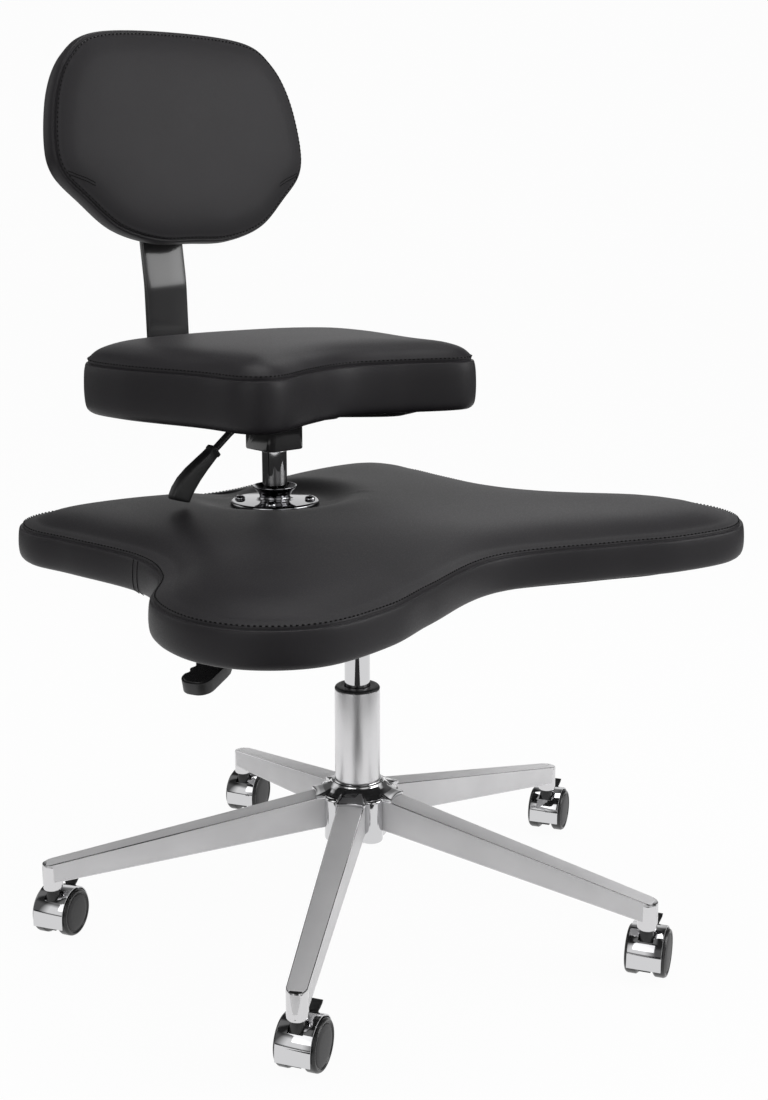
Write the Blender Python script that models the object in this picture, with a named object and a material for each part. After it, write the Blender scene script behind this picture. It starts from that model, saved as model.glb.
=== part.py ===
# Cross-legged office chair: a small padded seat with a backrest over a wide padded leg platform,
# each on a gas lift of its own, above a five-legged base on twin-wheel casters.
# Metres, +Z up. The sitter faces -Y and +X is the sitter's left.
# The origin lies on the floor, in the middle of the chair's box.

import math

import bmesh
import bpy
from mathutils import Matrix, Vector

# Clearances
SEAT = 0.0003            # between two pieces that rest on each other
RUN = 0.0004             # radial, between a shaft and the hole it turns or slides in
PIN_GAP = 0.0003         # between a valve pin and the lever over it

# Where the column stands
COLUMN_X = -0.0095
COLUMN_Y = -0.0210

# Casters
CASTER_COUNT = 5
CASTER_TURN = 27.5       # direction of every trail at rest, degrees from +X
WHEEL_RADIUS = 0.026
WHEEL_WIDTH = 0.0135
WHEEL_CAP = 0.003        # of the wheel beyond the axle's end
WHEEL_DISH = 0.0015      # depth of the ring around the wheel's outer disc
DISC_RADIUS = 0.021
TYRE_EDGE = 0.0016
AXLE_RADIUS = 0.003
CASTER_TRAIL = 0.014
NECK_RADIUS = 0.0074
NECK_RISE = 0.003        # of the neck above the hood
STEM_RADIUS = 0.0052
STEM_TIP = 0.0042        # radius of the stem's top
STEM_DEPTH = 0.020       # of the stem in the neck
WHEEL_SIDE_GAP = 0.0005  # between the housing and a wheel
HOOD_GAP = 0.0012        # between the tread and the hood
HOOD_WALL = 0.0013
HOOD_HALF_WIDTH = 0.018
SKIRT_FLOOR_GAP = 0.0155  # under the hood's front skirt
HOOD_REAR_ANGLE = -6.0   # where the hood ends behind, degrees about the axle
NOTCH_RISE = 0.0165      # of the hood's notch for the neck, above the axle
WEB_FRONT = 213.0        # where the housing's web starts, degrees about the axle
WEB_REAR = -20.0         # and where it ends
WEB_STEP = 20.0          # from the brake's barrel to the step in the web
BRAKE_ANGLE = 36.0       # of the brake pedal's barrel about the axle, degrees
BRAKE_BARREL = 0.0021
BRAKE_LENGTH = 0.018
BRAKE_FLARE = 0.007      # from the barrel to where the pedal widens
BRAKE_THICKNESS = 0.003
BRAKE_EDGE = 0.001
BRAKE_LEAN = 74.0        # of the raised pedal, degrees from the trail
BRAKE_TRAVEL = 22.0      # how far the pedal goes down, degrees
BRAKE_FOOT_WIDTH = 0.012
BRAKE_TOP_WIDTH = 0.019

# Base star
LEG_REACH = 0.338        # from the column to each caster stem
FIRST_LEG = 2.9          # degrees from +X
NOSE_HEIGHT = 0.031
NOSE_LIP = 0.0006        # of the caster socket beyond the end of the leg
NOSE_DROP = 0.0066       # of the socket's top below the leg's top
SOCKET_ROOF = 0.005      # metal above the stem
LEG_TIP_WIDTH = 0.021
LEG_ROOT_WIDTH = 0.030
LEG_TIP_DEPTH = 0.022
LEG_ROOT_DEPTH = 0.036
LEG_RISE = 0.0605        # of the leg's top from tip to root
LEG_EDGE = 0.0025        # bevel along the leg's top
LEG_INTO_HUB = 0.0125    # of the leg's root inside the hub's rim
HUB_RADIUS = 0.044
HUB_HEIGHT = 0.049
HUB_ABOVE_LEGS = 0.002
HUB_CROWN = 0.0145       # of the hub's neck above its rim
HUB_NECK_WALL = 0.0045

# Gas lifts, one under the platform and one under the seat
TUBE_RADIUS = 0.025
TUBE_WALL = 0.0026
TUBE_FLOOR = 0.005
TUBE_RISE = 0.118        # of the column's tube above the hub's rim
TUBE_DROP = 0.006        # of the column's tube below the hub
BUSH_LENGTH = 0.040
BUSH_LIP = 0.003
PISTON_RADIUS = 0.014
PISTON_NECK = 0.0128     # radius inside the socket it carries
ROD_RADIUS = 0.005
ROD_SHOULDER = 0.0095
SHOULDER_HEIGHT = 0.004
BEARING_RADIUS = 0.012
BEARING_HEIGHT = 0.004
CLIP_RADIUS = 0.009
CLIP_THICKNESS = 0.002
CLIP_GROOVE = 0.0038     # radius of the rod inside the clip
ROD_END = 0.003          # of the rod below the clip
PIN_RADIUS = 0.003
PIN_GUIDE = 0.010        # of the valve pin inside the piston
PIN_SHOWING = 0.005
PIN_TRAVEL_ROOM = 0.004
LIFT_UP = 0.055          # of the platform above its height here
LIFT_DOWN = 0.045        # and below it
SEAT_LIFT = 0.060        # of the seat above its lowest height, where it is here
ROD_OVERLAP = 0.018      # of rod and piston at full height
BORE_SPARE = 0.008       # of the piston's bore at the lowest height

# Platform mount and its lever
COLUMN_SHOWING = 0.093   # of the piston between the column and the mount
MOUNT_RADIUS = 0.032
MOUNT_WALL = 0.006
MOUNT_SOCKET = 0.022
MOUNT_HEIGHT = 0.0415
MOUNT_FLANGE_RADIUS = 0.080
MOUNT_FLANGE = 0.004
PLATFORM_LEVER_TURN = 201.5
PLATFORM_LEVER_DROOP = 3.0
PLATFORM_LEVER_ROCK = 4.0      # how far the lever lifts, degrees
PLATFORM_LEVER_RADIUS = 0.0035
PLATFORM_LEVER_REACH = 0.270   # from the column to the paddle
PADDLE_LEAD = 0.005      # of bent rod before the paddle
PADDLE_GRIP = 0.020      # of the rod inside the paddle
PADDLE_LENGTH = 0.062
PADDLE_WIDTH = 0.031
PADDLE_NECK_WIDTH = 0.018
PADDLE_TAPER = 0.0186    # over which the paddle widens
PADDLE_CORNER = 0.0124
PADDLE_THICKNESS = 0.012
PADDLE_DROOP = 11.0
PADDLE_EDGE = 0.003

# Platform, half outline from the front notch round to the rear notch: (left, rear)
BOARD_THICKNESS = 0.010
PLATFORM_BAND = 0.038
PLATFORM_CROWN = 0.017
PLATFORM_EDGE = 0.010    # roll at the platform's seam
PLATFORM_BOARD_INSET = 0.046
PLATFORM_HALF = [
    (0.0, -0.2135), (0.128, -0.2534), (0.2025, -0.281), (0.2861, -0.2884), (0.3431, -0.2516),
    (0.3645, -0.1887), (0.347, -0.1155), (0.2925, -0.0488), (0.265, 0.03), (0.2735, 0.14),
    (0.281, 0.2085), (0.2585, 0.2597), (0.2074, 0.2831), (0.12, 0.278), (0.0, 0.2508),
]

# Post that carries the seat, behind the column
POST_OFFSET = 0.140
FLANGE_RADIUS = 0.0505
FLANGE_THICKNESS = 0.0045
FLANGE_HEIGHT = 0.021
FLANGE_DIP = 0.0135      # of the flange's bed below the platform's crown
FLANGE_NECK = 0.0172
FLANGE_RIM = 0.025
FLANGE_CUP = 0.005       # depth of the cup in the rim
FLANGE_LIP = 0.0022      # width of the rim
FLANGE_FILLET = 0.0045   # between the collar and the plate
DIMPLE_RADIUS = 0.105    # where the platform starts to dip
BOLT_CIRCLE = 0.040
BOLT_COUNT = 4
BOLT_HEAD = 0.0055
BOLT_TOP = 0.0044        # radius of the head's flat
BOLT_HEAD_HEIGHT = 0.004
BOLT_SHANK = 0.003
POST_DROP = 0.160        # of the post's tube below the flange
POST_SHOWING = 0.042     # of the piston between flange and mechanism

# Seat mechanism and its lever
MECHANISM_WIDTH = 0.050
MECHANISM_WALL = 0.004
MECHANISM_ROUND = 0.010
MECHANISM_SOCKET = 0.020
MECHANISM_HEIGHT = 0.0395
PLATE_THICKNESS = 0.003
PLATE_WIDTH = 0.090
PLATE_DEPTH = 0.130
SEAT_LEVER_RADIUS = 0.004
SEAT_LEVER_ROCK = 6.0          # how far the lever lifts, degrees
SEAT_LEVER_STRAIGHT = 0.0548   # from the post to the bend
SEAT_LEVER_SLOPE = 37.5
SEAT_LEVER_RUN = 0.060         # of rod beyond the bend
HANDLE_START = 0.037           # from the bend, along the slope
HANDLE_LENGTH = 0.066
HANDLE_THICKNESS = 0.015
HANDLE_COLLAR = 0.013
HANDLE_NECK = 0.020            # of the handle, as wide as its collar
HANDLE_SPREAD = 0.0475         # from the collar to where the handle spreads
HANDLE_SPREAD_WIDTH = 0.020
HANDLE_END_WIDTH = 0.028
HANDLE_EDGE = 0.003

# Seat, half outline from the front notch round to the rear: (left, rear)
SEAT_BOARD_INSET = 0.032
SEAT_BOARD_THICKNESS = 0.007
SEAT_BAND = 0.056
SEAT_CROWN = 0.022
SEAT_EDGE = 0.0106       # roll at the seat's seam
SEAT_HALF = [
    (0.0, 0.010), (0.06, -0.006), (0.128, -0.035), (0.163, -0.014), (0.171, 0.05),
    (0.194, 0.155), (0.186, 0.235), (0.12, 0.287), (0.0, 0.300),
]

# Back bar and backrest
BAR_WIDTH = 0.057
BAR_THICKNESS = 0.008
BAR_EDGE = 0.0016
BAR_BEHIND_SEAT = 0.036
BAR_BEND = 0.030
BAR_UNDER_SEAT = 0.125   # of the bar's run under the seat
BAR_LEAN = 2.0
BAR_KINK_RISE = 0.073    # of the kink above the seat's seam
BACK_LEAN = 8.0
BACK_RISE = 0.1615       # of the backrest's middle above the kink, along the lean
BAR_ABOVE_MIDDLE = 0.070
BACK_BOARD_THICKNESS = 0.008
BACK_BOARD_INSET = 0.038
BACK_BAND = 0.057
BACK_TUCK = 0.024        # of the pad's back edge inside its seam
BACK_CROWN = 0.010
BACK_EDGE = 0.0125       # roll at the backrest's seam
BACK_HALF = [
    (0.0, -0.1235), (0.05, -0.1225), (0.102, -0.107), (0.141, -0.075), (0.170, -0.045),
    (0.1765, -0.010), (0.166, 0.048), (0.142, 0.089), (0.101, 0.1125), (0.0, 0.1185),
]

# Side of every pad, from its foot to the roll above its seam: how far it is drawn in, as shares of
# its edge roll and its tuck, and how high it is, as shares of its band and its edge roll
PAD_SIDE = [
    (1.0, 1.0, 0.0, 0.0), (0.3, 0.9, 0.0, 0.35), (0.0, 0.67, 0.3, 0.0), (0.0, 0.13, 0.62, 0.0),
    (0.35, 0.0, 0.92, 0.0), (0.5, 0.0, 1.0, 0.0), (0.8, 0.0, 1.0, 0.25),
]
PAD_RINGS = (0.1, 0.25, 0.45, 0.7)     # shares of the way from the roll to the middle
PLATFORM_RINGS = (0.08, 0.2, 0.4, 0.62, 0.78, 0.9, 1.0)
CROWN_POWER = 4                        # how soon a crown levels out

# Facets
ROUND_SIDES = 32
PISTON_SIDES = 24
WHEEL_SIDES = 20
SMALL_SIDES = 16
BORE_SIDES = 12
BOLT_SIDES = 10
PLATFORM_POINTS = 72
PLATFORM_BOARD_POINTS = 48
SEAT_POINTS = 60
SEAT_BOARD_POINTS = 40
BACK_POINTS = 56
CURVE_STEPS = 24
MERGE = 0.000001
SHARP_ANGLE = math.radians(35.0)

# Heights that follow from the sizes above
HOOD_INNER = WHEEL_RADIUS + HOOD_GAP
HOOD_OUTER = HOOD_INNER + HOOD_WALL
NECK_TOP = WHEEL_RADIUS + HOOD_OUTER + NECK_RISE
NOSE_BOTTOM = NECK_TOP + SEAT
LEG_TIP_TOP = NOSE_BOTTOM + NOSE_HEIGHT
LEG_ROOT_TOP = LEG_TIP_TOP + LEG_RISE
HUB_TOP = LEG_ROOT_TOP + HUB_ABOVE_LEGS
HUB_BOTTOM = HUB_TOP - HUB_HEIGHT
TUBE_TOP = HUB_TOP + TUBE_RISE
TUBE_BOTTOM = HUB_BOTTOM - TUBE_DROP
MOUNT_BOTTOM = TUBE_TOP + COLUMN_SHOWING
MOUNT_TOP = MOUNT_BOTTOM + MOUNT_HEIGHT
PLATFORM_BOARD_BOTTOM = MOUNT_TOP + SEAT
PLATFORM_BOTTOM = PLATFORM_BOARD_BOTTOM + BOARD_THICKNESS + SEAT
PLATFORM_SEAM = PLATFORM_BOTTOM + PLATFORM_BAND
FLANGE_BED = PLATFORM_SEAM + PLATFORM_CROWN - FLANGE_DIP
FLANGE_BOTTOM = FLANGE_BED + SEAT
FLANGE_TOP = FLANGE_BOTTOM + FLANGE_HEIGHT
MECHANISM_BOTTOM = FLANGE_TOP + POST_SHOWING
MECHANISM_TOP = MECHANISM_BOTTOM + MECHANISM_HEIGHT
SEAT_BOARD_BOTTOM = MECHANISM_TOP + SEAT
SEAT_BOTTOM = SEAT_BOARD_BOTTOM + SEAT_BOARD_THICKNESS + SEAT
SEAT_SEAM = SEAT_BOTTOM + SEAT_BAND


def clear_scene():
    for leftover in list(bpy.data.objects):
        bpy.data.objects.remove(leftover)


def finish(name, colour, roughness, metallic=0.0):
    material = bpy.data.materials.new(name)
    material.use_nodes = True
    shader = material.node_tree.nodes["Principled BSDF"]
    shader.inputs["Base Color"].default_value = (*colour, 1.0)
    shader.inputs["Roughness"].default_value = roughness
    shader.inputs["Metallic"].default_value = metallic
    return material


def polar(radius, degrees):
    angle = math.radians(degrees)
    return (radius * math.cos(angle), radius * math.sin(angle))


def arc(centre, radius, start, end, steps):
    # Points on an arc, both ends included, angles in degrees.
    points = []
    for i in range(steps + 1):
        x, y = polar(radius, start + (end - start) * i / steps)
        points.append((centre[0] + x, centre[1] + y))
    return points


def mesh_of(name, bm):
    bmesh.ops.remove_doubles(bm, verts=bm.verts, dist=MERGE)
    bmesh.ops.recalc_face_normals(bm, faces=bm.faces)
    mesh = bpy.data.meshes.new(name)
    bm.to_mesh(mesh)
    bm.free()
    mesh.shade_smooth()
    mesh.set_sharp_from_angle(angle=SHARP_ANGLE)
    return mesh


def turned(profile, sides=ROUND_SIDES):
    # A solid turned about Z from a loop of (radius, height); an edge on the axis is left open.
    bm = bmesh.new()
    verts = [bm.verts.new((radius, 0.0, height)) for radius, height in profile]
    edges = []
    for first, second in zip(verts, verts[1:] + verts[:1]):
        if first.co.x > 0.0 or second.co.x > 0.0:
            edges.append(bm.edges.new((first, second)))
    bmesh.ops.spin(
        bm, geom=verts + edges, cent=(0, 0, 0), axis=(0, 0, 1), angle=math.tau, steps=sides, use_merge=True
    )
    bmesh.ops.remove_doubles(bm, verts=bm.verts, dist=MERGE)
    return bm


def rod_between(radius, low, high, sides=ROUND_SIDES):
    return turned([(0, high), (radius, high), (radius, low), (0, low)], sides)


def ring(inner, outer, low, high):
    return [(inner, high), (outer, high), (outer, low), (inner, low)]


def loft(rings):
    # A solid through rings of equal count, its two ends closed by flat faces.
    bm = bmesh.new()
    rows = [[bm.verts.new(point) for point in points] for points in rings]
    for low, high in zip(rows, rows[1:]):
        for i in range(len(low)):
            j = (i + 1) % len(low)
            bm.faces.new((low[i], low[j], high[j], high[i]))
    bm.faces.new(rows[0])
    bm.faces.new(rows[-1])
    return bm


def prism(outline, low, high):
    return loft([[(x, y, low) for x, y in outline], [(x, y, high) for x, y in outline]])


def side_prism(outline, half_width):
    # An outline in (x, z), extruded along Y to both sides.
    return loft([[(x, side * half_width, z) for x, z in outline] for side in (-1, 1)])


def bevel(bm, edges, width, segments):
    bmesh.ops.bevel(
        bm, geom=edges, offset=width, offset_type="OFFSET", segments=segments, profile=0.5,
        affect="EDGES", clamp_overlap=True, material=-1,
    )


def rounded_box(width, depth, low, high, radius, steps):
    corners = []
    for x_sign, y_sign, start in ((1, 1, 0), (-1, 1, 90), (-1, -1, 180), (1, -1, 270)):
        centre = (x_sign * (width / 2 - radius), y_sign * (depth / 2 - radius))
        corners += arc(centre, radius, start, start + 90, steps)
    return prism(corners, low, high)


def object_of(name, mesh, material, parent=None, location=(0, 0, 0), rotation=(0, 0, 0)):
    part = bpy.data.objects.new(name, mesh)
    bpy.context.scene.collection.objects.link(part)
    if not mesh.materials:
        mesh.materials.append(material)
    part.parent = parent
    part.location = location
    part.rotation_euler = [math.radians(angle) for angle in rotation]
    return part


def empty_at(name, location, rotation=(0, 0, 0), parent=None):
    mark = bpy.data.objects.new(name, None)
    bpy.context.scene.collection.objects.link(mark)
    mark.parent = parent
    mark.location = location
    mark.rotation_euler = [math.radians(angle) for angle in rotation]
    return mark


def combined(name, bm, steps):
    # One mesh from a first body and Boolean steps: (operation, bmesh).
    body = object_of(name, mesh_of(name, bm), None)
    tools = []
    for operation, other in steps:
        tool = object_of(name + "_tool", mesh_of(name + "_tool", other), None)
        step = body.modifiers.new(operation, "BOOLEAN")
        step.operation = operation
        step.solver = "EXACT"
        step.object = tool
        tools.append(tool)
    bpy.context.view_layer.update()
    graph = bpy.context.evaluated_depsgraph_get()
    result = bpy.data.meshes.new_from_object(body.evaluated_get(graph))
    result.name = name
    result.materials.clear()
    for used in [body] + tools:
        bpy.data.objects.remove(used)
    clean = bmesh.new()
    clean.from_mesh(result)
    bmesh.ops.remove_doubles(clean, verts=clean.verts, dist=MERGE)
    bmesh.ops.dissolve_degenerate(clean, edges=clean.edges, dist=MERGE)
    clean.to_mesh(result)
    clean.free()
    result.shade_smooth()
    result.set_sharp_from_angle(angle=SHARP_ANGLE)
    return result


def moved(bm, matrix):
    bmesh.ops.transform(bm, matrix=matrix, verts=bm.verts)
    return bm


def copies_round(make, count, first):
    # One mesh holding a shape repeated about Z, for use as a Boolean tool.
    joined = bmesh.new()
    for i in range(count):
        single = moved(make(), Matrix.Rotation(math.radians(first + 360.0 * i / count), 4, "Z"))
        scratch = bpy.data.meshes.new("copy")
        bmesh.ops.recalc_face_normals(single, faces=single.faces)
        single.to_mesh(scratch)
        single.free()
        joined.from_mesh(scratch)
        bpy.data.meshes.remove(scratch)
    return joined


def closed_curve(half, count):
    # A smooth closed outline through a half outline and its mirror, evenly spaced along its length.
    points = list(half) + [(-x, y) for x, y in reversed(half[1:-1])]
    dense = []
    for i in range(len(points)):
        p0, p1, p2, p3 = (Vector(points[(i + k) % len(points)]) for k in (-1, 0, 1, 2))
        for k in range(CURVE_STEPS):
            t = k / CURVE_STEPS
            dense.append(0.5 * (
                2 * p1 + (p2 - p0) * t + (2 * p0 - 5 * p1 + 4 * p2 - p3) * t * t
                + (3 * p1 - p0 - 3 * p2 + p3) * t ** 3
            ))
    lengths = [0.0]
    for first, second in zip(dense, dense[1:] + dense[:1]):
        lengths.append(lengths[-1] + (second - first).length)
    outline = []
    index = 0
    for i in range(count):
        wanted = lengths[-1] * i / count
        while lengths[index + 1] < wanted:
            index += 1
        share = (wanted - lengths[index]) / (lengths[index + 1] - lengths[index])
        outline.append(dense[index].lerp(dense[(index + 1) % len(dense)], share))
    return outline


def inset_outline(outline, distance):
    # The outline moved inwards along its own normals.
    moved_points = []
    for i, point in enumerate(outline):
        along = (outline[(i + 1) % len(outline)] - outline[i - 1]).normalized()
        moved_points.append(point + Vector((-along.y, along.x)) * distance)
    return moved_points


def towards(outline, centre, share, hole=0.0):
    # The outline drawn in along rays, from itself at share 0 to a circle of the hole's radius at 1.
    points = []
    for point in outline:
        ray = point - centre
        radius = ray.length + (hole - ray.length) * share
        points.append(centre + ray.normalized() * radius)
    return points


def smooth_step(value):
    value = min(max(value, 0.0), 1.0)
    return value * value * (3.0 - 2.0 * value)


def padded_rim(outline, bottom, seam, edge, tuck):
    # Rings up the side of a pad: a foot tucked under, a band that swells, and a seam drawn in.
    rings = []
    for edge_in, tuck_in, band_up, edge_up in PAD_SIDE:
        height = bottom + (seam - bottom) * band_up + edge * edge_up
        row = inset_outline(outline, edge * edge_in + tuck * tuck_in)
        rings.append([(p.x, p.y, height) for p in row])
    return rings


def crown_rise(share):
    # How much of a crown's height is reached on the way from the rim to the middle.
    return 1.0 - (1.0 - share) ** CROWN_POWER


def pad(outline, centre, bottom, seam, crown, edge, tuck=0.0):
    # A crowned pad that lies flat on its board.
    rings = padded_rim(outline, bottom, seam, edge, tuck)
    rim = [Vector(point[:2]) for point in rings[-1]]
    rim_height = rings[-1][0][2]
    for share in PAD_RINGS:
        height = rim_height + (seam + crown - rim_height) * crown_rise(share)
        rings.append([(p.x, p.y, height) for p in towards(rim, centre, share)])
    return loft(rings)


def circle(radius, sides):
    return [polar(radius, 360.0 * i / sides) for i in range(sides)]


def swept(path, section):
    # A section of (across, sideways) points along a path in the XZ plane, mitred at its bends.
    path = [Vector(point) for point in path]
    steps = [(second - first).normalized() for first, second in zip(path, path[1:])]
    rings = []
    for i, point in enumerate(path):
        before = steps[max(i - 1, 0)]
        after = steps[min(i, len(steps) - 1)]
        along = (before + after).normalized()
        across = Vector((-along.y, along.x)) / along.dot(after)
        rings.append([(point.x + across.x * u, v, point.y + across.y * u) for u, v in section])
    return loft(rings)


def across_hole(radius, start, end):
    return swept([(start, 0.0), (end, 0.0)], circle(radius, SMALL_SIDES))


def lever_slot(radius, wall, tilt):
    # Room for a lever rod to rock in a wall about a point in the middle of it, up to a tilt in degrees.
    wide = radius + RUN
    tall = radius + RUN + wall * math.tan(math.radians(tilt))
    corners = [(-wide, -tall), (wide, -tall), (wide, tall), (-wide, tall)]
    return loft([[(x, y, z) for y, z in corners] for x in (-wall, wall)])


def board_of(outline, low, thickness):
    return prism([(p.x, p.y) for p in outline], low, low + thickness)


def leg_line(x, root, tip):
    # Height on a line from the hub's rim to the caster stem.
    return root + (tip - root) * (x - HUB_RADIUS) / (LEG_REACH - HUB_RADIUS)


def leg_body():
    inside_hub = HUB_RADIUS - LEG_INTO_HUB
    outline = [(inside_hub, -LEG_ROOT_WIDTH / 2)]
    outline += arc((LEG_REACH, 0.0), LEG_TIP_WIDTH / 2, -90, 90, 6)
    outline += [(inside_hub, LEG_ROOT_WIDTH / 2)]
    root_low = LEG_ROOT_TOP - LEG_ROOT_DEPTH
    tip_low = LEG_TIP_TOP - LEG_TIP_DEPTH
    low = [(x, y, leg_line(x, root_low, tip_low)) for x, y in outline]
    high = [(x, y, leg_line(x, LEG_ROOT_TOP, LEG_TIP_TOP)) for x, y in outline]
    bm = loft([low, high])
    bm.faces.ensure_lookup_table()
    bevel(bm, list(bm.faces[-1].edges), LEG_EDGE, 1)
    return bm


def at_stem(bm):
    return moved(bm, Matrix.Translation((LEG_REACH, 0, 0)))


def socket_nose():
    radius = LEG_TIP_WIDTH / 2 + NOSE_LIP
    return at_stem(rod_between(radius, NOSE_BOTTOM, LEG_TIP_TOP - NOSE_DROP, SMALL_SIDES))


def stem_socket():
    top = LEG_TIP_TOP - SOCKET_ROOF
    return at_stem(rod_between(STEM_RADIUS + SEAT, NOSE_BOTTOM - SOCKET_ROOF, top, BORE_SIDES))


def make_base(finishes, stand):
    bore = TUBE_RADIUS + SEAT
    neck = TUBE_RADIUS + HUB_NECK_WALL
    hub = turned([
        (bore, HUB_TOP + HUB_CROWN), (neck, HUB_TOP + HUB_CROWN),
        (neck + HUB_NECK_WALL, HUB_TOP + HUB_CROWN / 3), (HUB_RADIUS, HUB_TOP),
        (HUB_RADIUS, HUB_BOTTOM), (bore, HUB_BOTTOM),
    ])
    mesh = combined("base_star", hub, [
        ("UNION", copies_round(leg_body, CASTER_COUNT, FIRST_LEG)),
        ("UNION", copies_round(socket_nose, CASTER_COUNT, FIRST_LEG)),
        ("DIFFERENCE", copies_round(stem_socket, CASTER_COUNT, FIRST_LEG)),
    ])
    object_of("base_star", mesh, finishes["satin"], stand)


def lift_tube(top, bottom):
    hole = ROD_RADIUS + RUN
    inner = TUBE_RADIUS - TUBE_WALL
    floor = bottom + TUBE_FLOOR
    return turned([
        (TUBE_RADIUS, top), (TUBE_RADIUS, bottom), (hole, bottom),
        (hole, floor), (inner, floor), (inner, top),
    ])


def lift_rod(top, shoulder, end, tail):
    # A rod whose shoulder carries the load; tail gives the steps below it.
    return turned([
        (0, top), (ROD_RADIUS, top), (ROD_RADIUS, shoulder + SHOULDER_HEIGHT),
        (ROD_SHOULDER, shoulder + SHOULDER_HEIGHT), (ROD_SHOULDER, shoulder), (ROD_RADIUS, shoulder),
    ] + tail + [(ROD_RADIUS, end), (0, end)], SMALL_SIDES)


def lift_piston(top, shoulder, bottom, bore_top):
    # The sliding cylinder: a bore for the rod below, a guide for the valve pin above.
    bore = ROD_RADIUS + RUN
    guide = PIN_RADIUS + RUN
    guide_floor = top - PIN_GUIDE - PIN_TRAVEL_ROOM
    return turned([
        (guide, top), (PISTON_NECK, top), (PISTON_NECK, shoulder), (PISTON_RADIUS, shoulder),
        (PISTON_RADIUS, bottom), (bore, bottom), (bore, bore_top), (0, bore_top),
        (0, guide_floor), (guide, guide_floor),
    ], PISTON_SIDES)


def valve_pin(piston_top):
    return rod_between(PIN_RADIUS, piston_top - PIN_GUIDE, piston_top + PIN_SHOWING, SMALL_SIDES)


def make_column(finishes, axis):
    tube = lift_tube(TUBE_TOP, TUBE_BOTTOM)
    object_of("column_tube", mesh_of("column_tube", tube), finishes["satin"], axis)

    sleeve = TUBE_RADIUS - TUBE_WALL - SEAT
    bore = PISTON_RADIUS + RUN
    lip_low = TUBE_TOP + SEAT
    bush = turned([
        (bore, lip_low + BUSH_LIP), (TUBE_RADIUS, lip_low + BUSH_LIP), (TUBE_RADIUS, lip_low),
        (sleeve, lip_low), (sleeve, TUBE_TOP - BUSH_LENGTH), (bore, TUBE_TOP - BUSH_LENGTH),
    ])
    object_of("column_bush", mesh_of("column_bush", bush), finishes["black_plastic"], axis)

    floor = TUBE_BOTTOM + TUBE_FLOOR
    bearing_low = floor + SEAT
    bearing_top = bearing_low + BEARING_HEIGHT
    bearing = turned(ring(ROD_RADIUS + RUN, BEARING_RADIUS, bearing_low, bearing_top), SMALL_SIDES)
    object_of("thrust_bearing", mesh_of("thrust_bearing", bearing), finishes["steel"], axis)

    clip_top = TUBE_BOTTOM - SEAT
    clip_low = clip_top - CLIP_THICKNESS
    clip = turned(ring(CLIP_GROOVE + SEAT, CLIP_RADIUS, clip_low, clip_top), SMALL_SIDES)
    object_of("column_clip", mesh_of("column_clip", clip), finishes["steel"], axis)

    shoulder = bearing_top + SEAT
    piston_bottom = TUBE_TOP - BUSH_LENGTH - LIFT_UP - ROD_OVERLAP
    rod_top = piston_bottom + LIFT_UP + ROD_OVERLAP
    groove_low = clip_low - SEAT
    tail = [
        (ROD_RADIUS, TUBE_BOTTOM), (CLIP_GROOVE, TUBE_BOTTOM),
        (CLIP_GROOVE, groove_low), (ROD_RADIUS, groove_low),
    ]
    rod = lift_rod(rod_top, shoulder, groove_low - ROD_END, tail)
    object_of("piston_rod", mesh_of("piston_rod", rod), finishes["steel"], axis)

    piston_top = MOUNT_BOTTOM + MOUNT_SOCKET
    bore_top = rod_top + LIFT_DOWN + BORE_SPARE
    piston = lift_piston(piston_top, MOUNT_BOTTOM - SEAT, piston_bottom, bore_top)
    object_of("gas_cylinder", mesh_of("gas_cylinder", piston), finishes["chrome"], axis)
    object_of("valve_pin", mesh_of("valve_pin", valve_pin(piston_top)), finishes["steel"], axis)


def make_platform_lever(finishes, axis):
    droop = math.radians(PLATFORM_LEVER_DROOP)
    radius = PLATFORM_LEVER_RADIUS
    pin_top = MOUNT_BOTTOM + MOUNT_SOCKET + PIN_SHOWING
    over_pin = pin_top + PIN_GAP + radius / math.cos(droop) + PIN_RADIUS * math.tan(droop)
    pivot = MOUNT_RADIUS - MOUNT_WALL / 2
    pivot_height = over_pin - pivot * math.tan(droop)
    hinge = empty_at(
        "platform_lever_axis", (*polar(pivot, PLATFORM_LEVER_TURN), pivot_height),
        (0, 0, PLATFORM_LEVER_TURN), axis,
    )
    bend_x = PLATFORM_LEVER_REACH - PADDLE_LEAD - pivot
    bend = Vector((bend_x, -bend_x * math.tan(droop)))
    inner_x = -pivot - PIN_RADIUS
    down = Vector(polar(1.0, -PLATFORM_LEVER_DROOP - PADDLE_DROOP))
    path = [(inner_x, -inner_x * math.tan(droop)), bend, bend + down * (PADDLE_LEAD + PADDLE_GRIP)]
    rod = swept(path, circle(radius, SMALL_SIDES))
    object_of("platform_lever_rod", mesh_of("platform_lever_rod", rod), finishes["black_steel"], hinge)

    start = bend + down * PADDLE_LEAD
    half = PADDLE_WIDTH / 2
    tip = PADDLE_CORNER
    outline = [(0.0, -PADDLE_NECK_WIDTH / 2), (PADDLE_TAPER, -half)]
    outline += arc((PADDLE_LENGTH - tip, -half + tip), tip, -90, 0, 4)
    outline += arc((PADDLE_LENGTH - tip, half - tip), tip, 0, 90, 4)
    outline += [(PADDLE_TAPER, half), (0.0, PADDLE_NECK_WIDTH / 2)]
    body = prism(outline, -PADDLE_THICKNESS / 2, PADDLE_THICKNESS / 2)
    body.faces.ensure_lookup_table()
    bevel(body, list(body.faces[-1].edges) + list(body.faces[-2].edges), PADDLE_EDGE, 2)
    hole = across_hole(radius + SEAT, -PADDLE_LEAD, PADDLE_GRIP + SEAT)
    mesh = combined("platform_lever_paddle", body, [("DIFFERENCE", hole)])
    object_of(
        "platform_lever_paddle", mesh, finishes["black_plastic"], hinge, (start.x, 0, start.y),
        (0, PLATFORM_LEVER_DROOP + PADDLE_DROOP, 0),
    )
    return pivot, pivot_height


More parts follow.
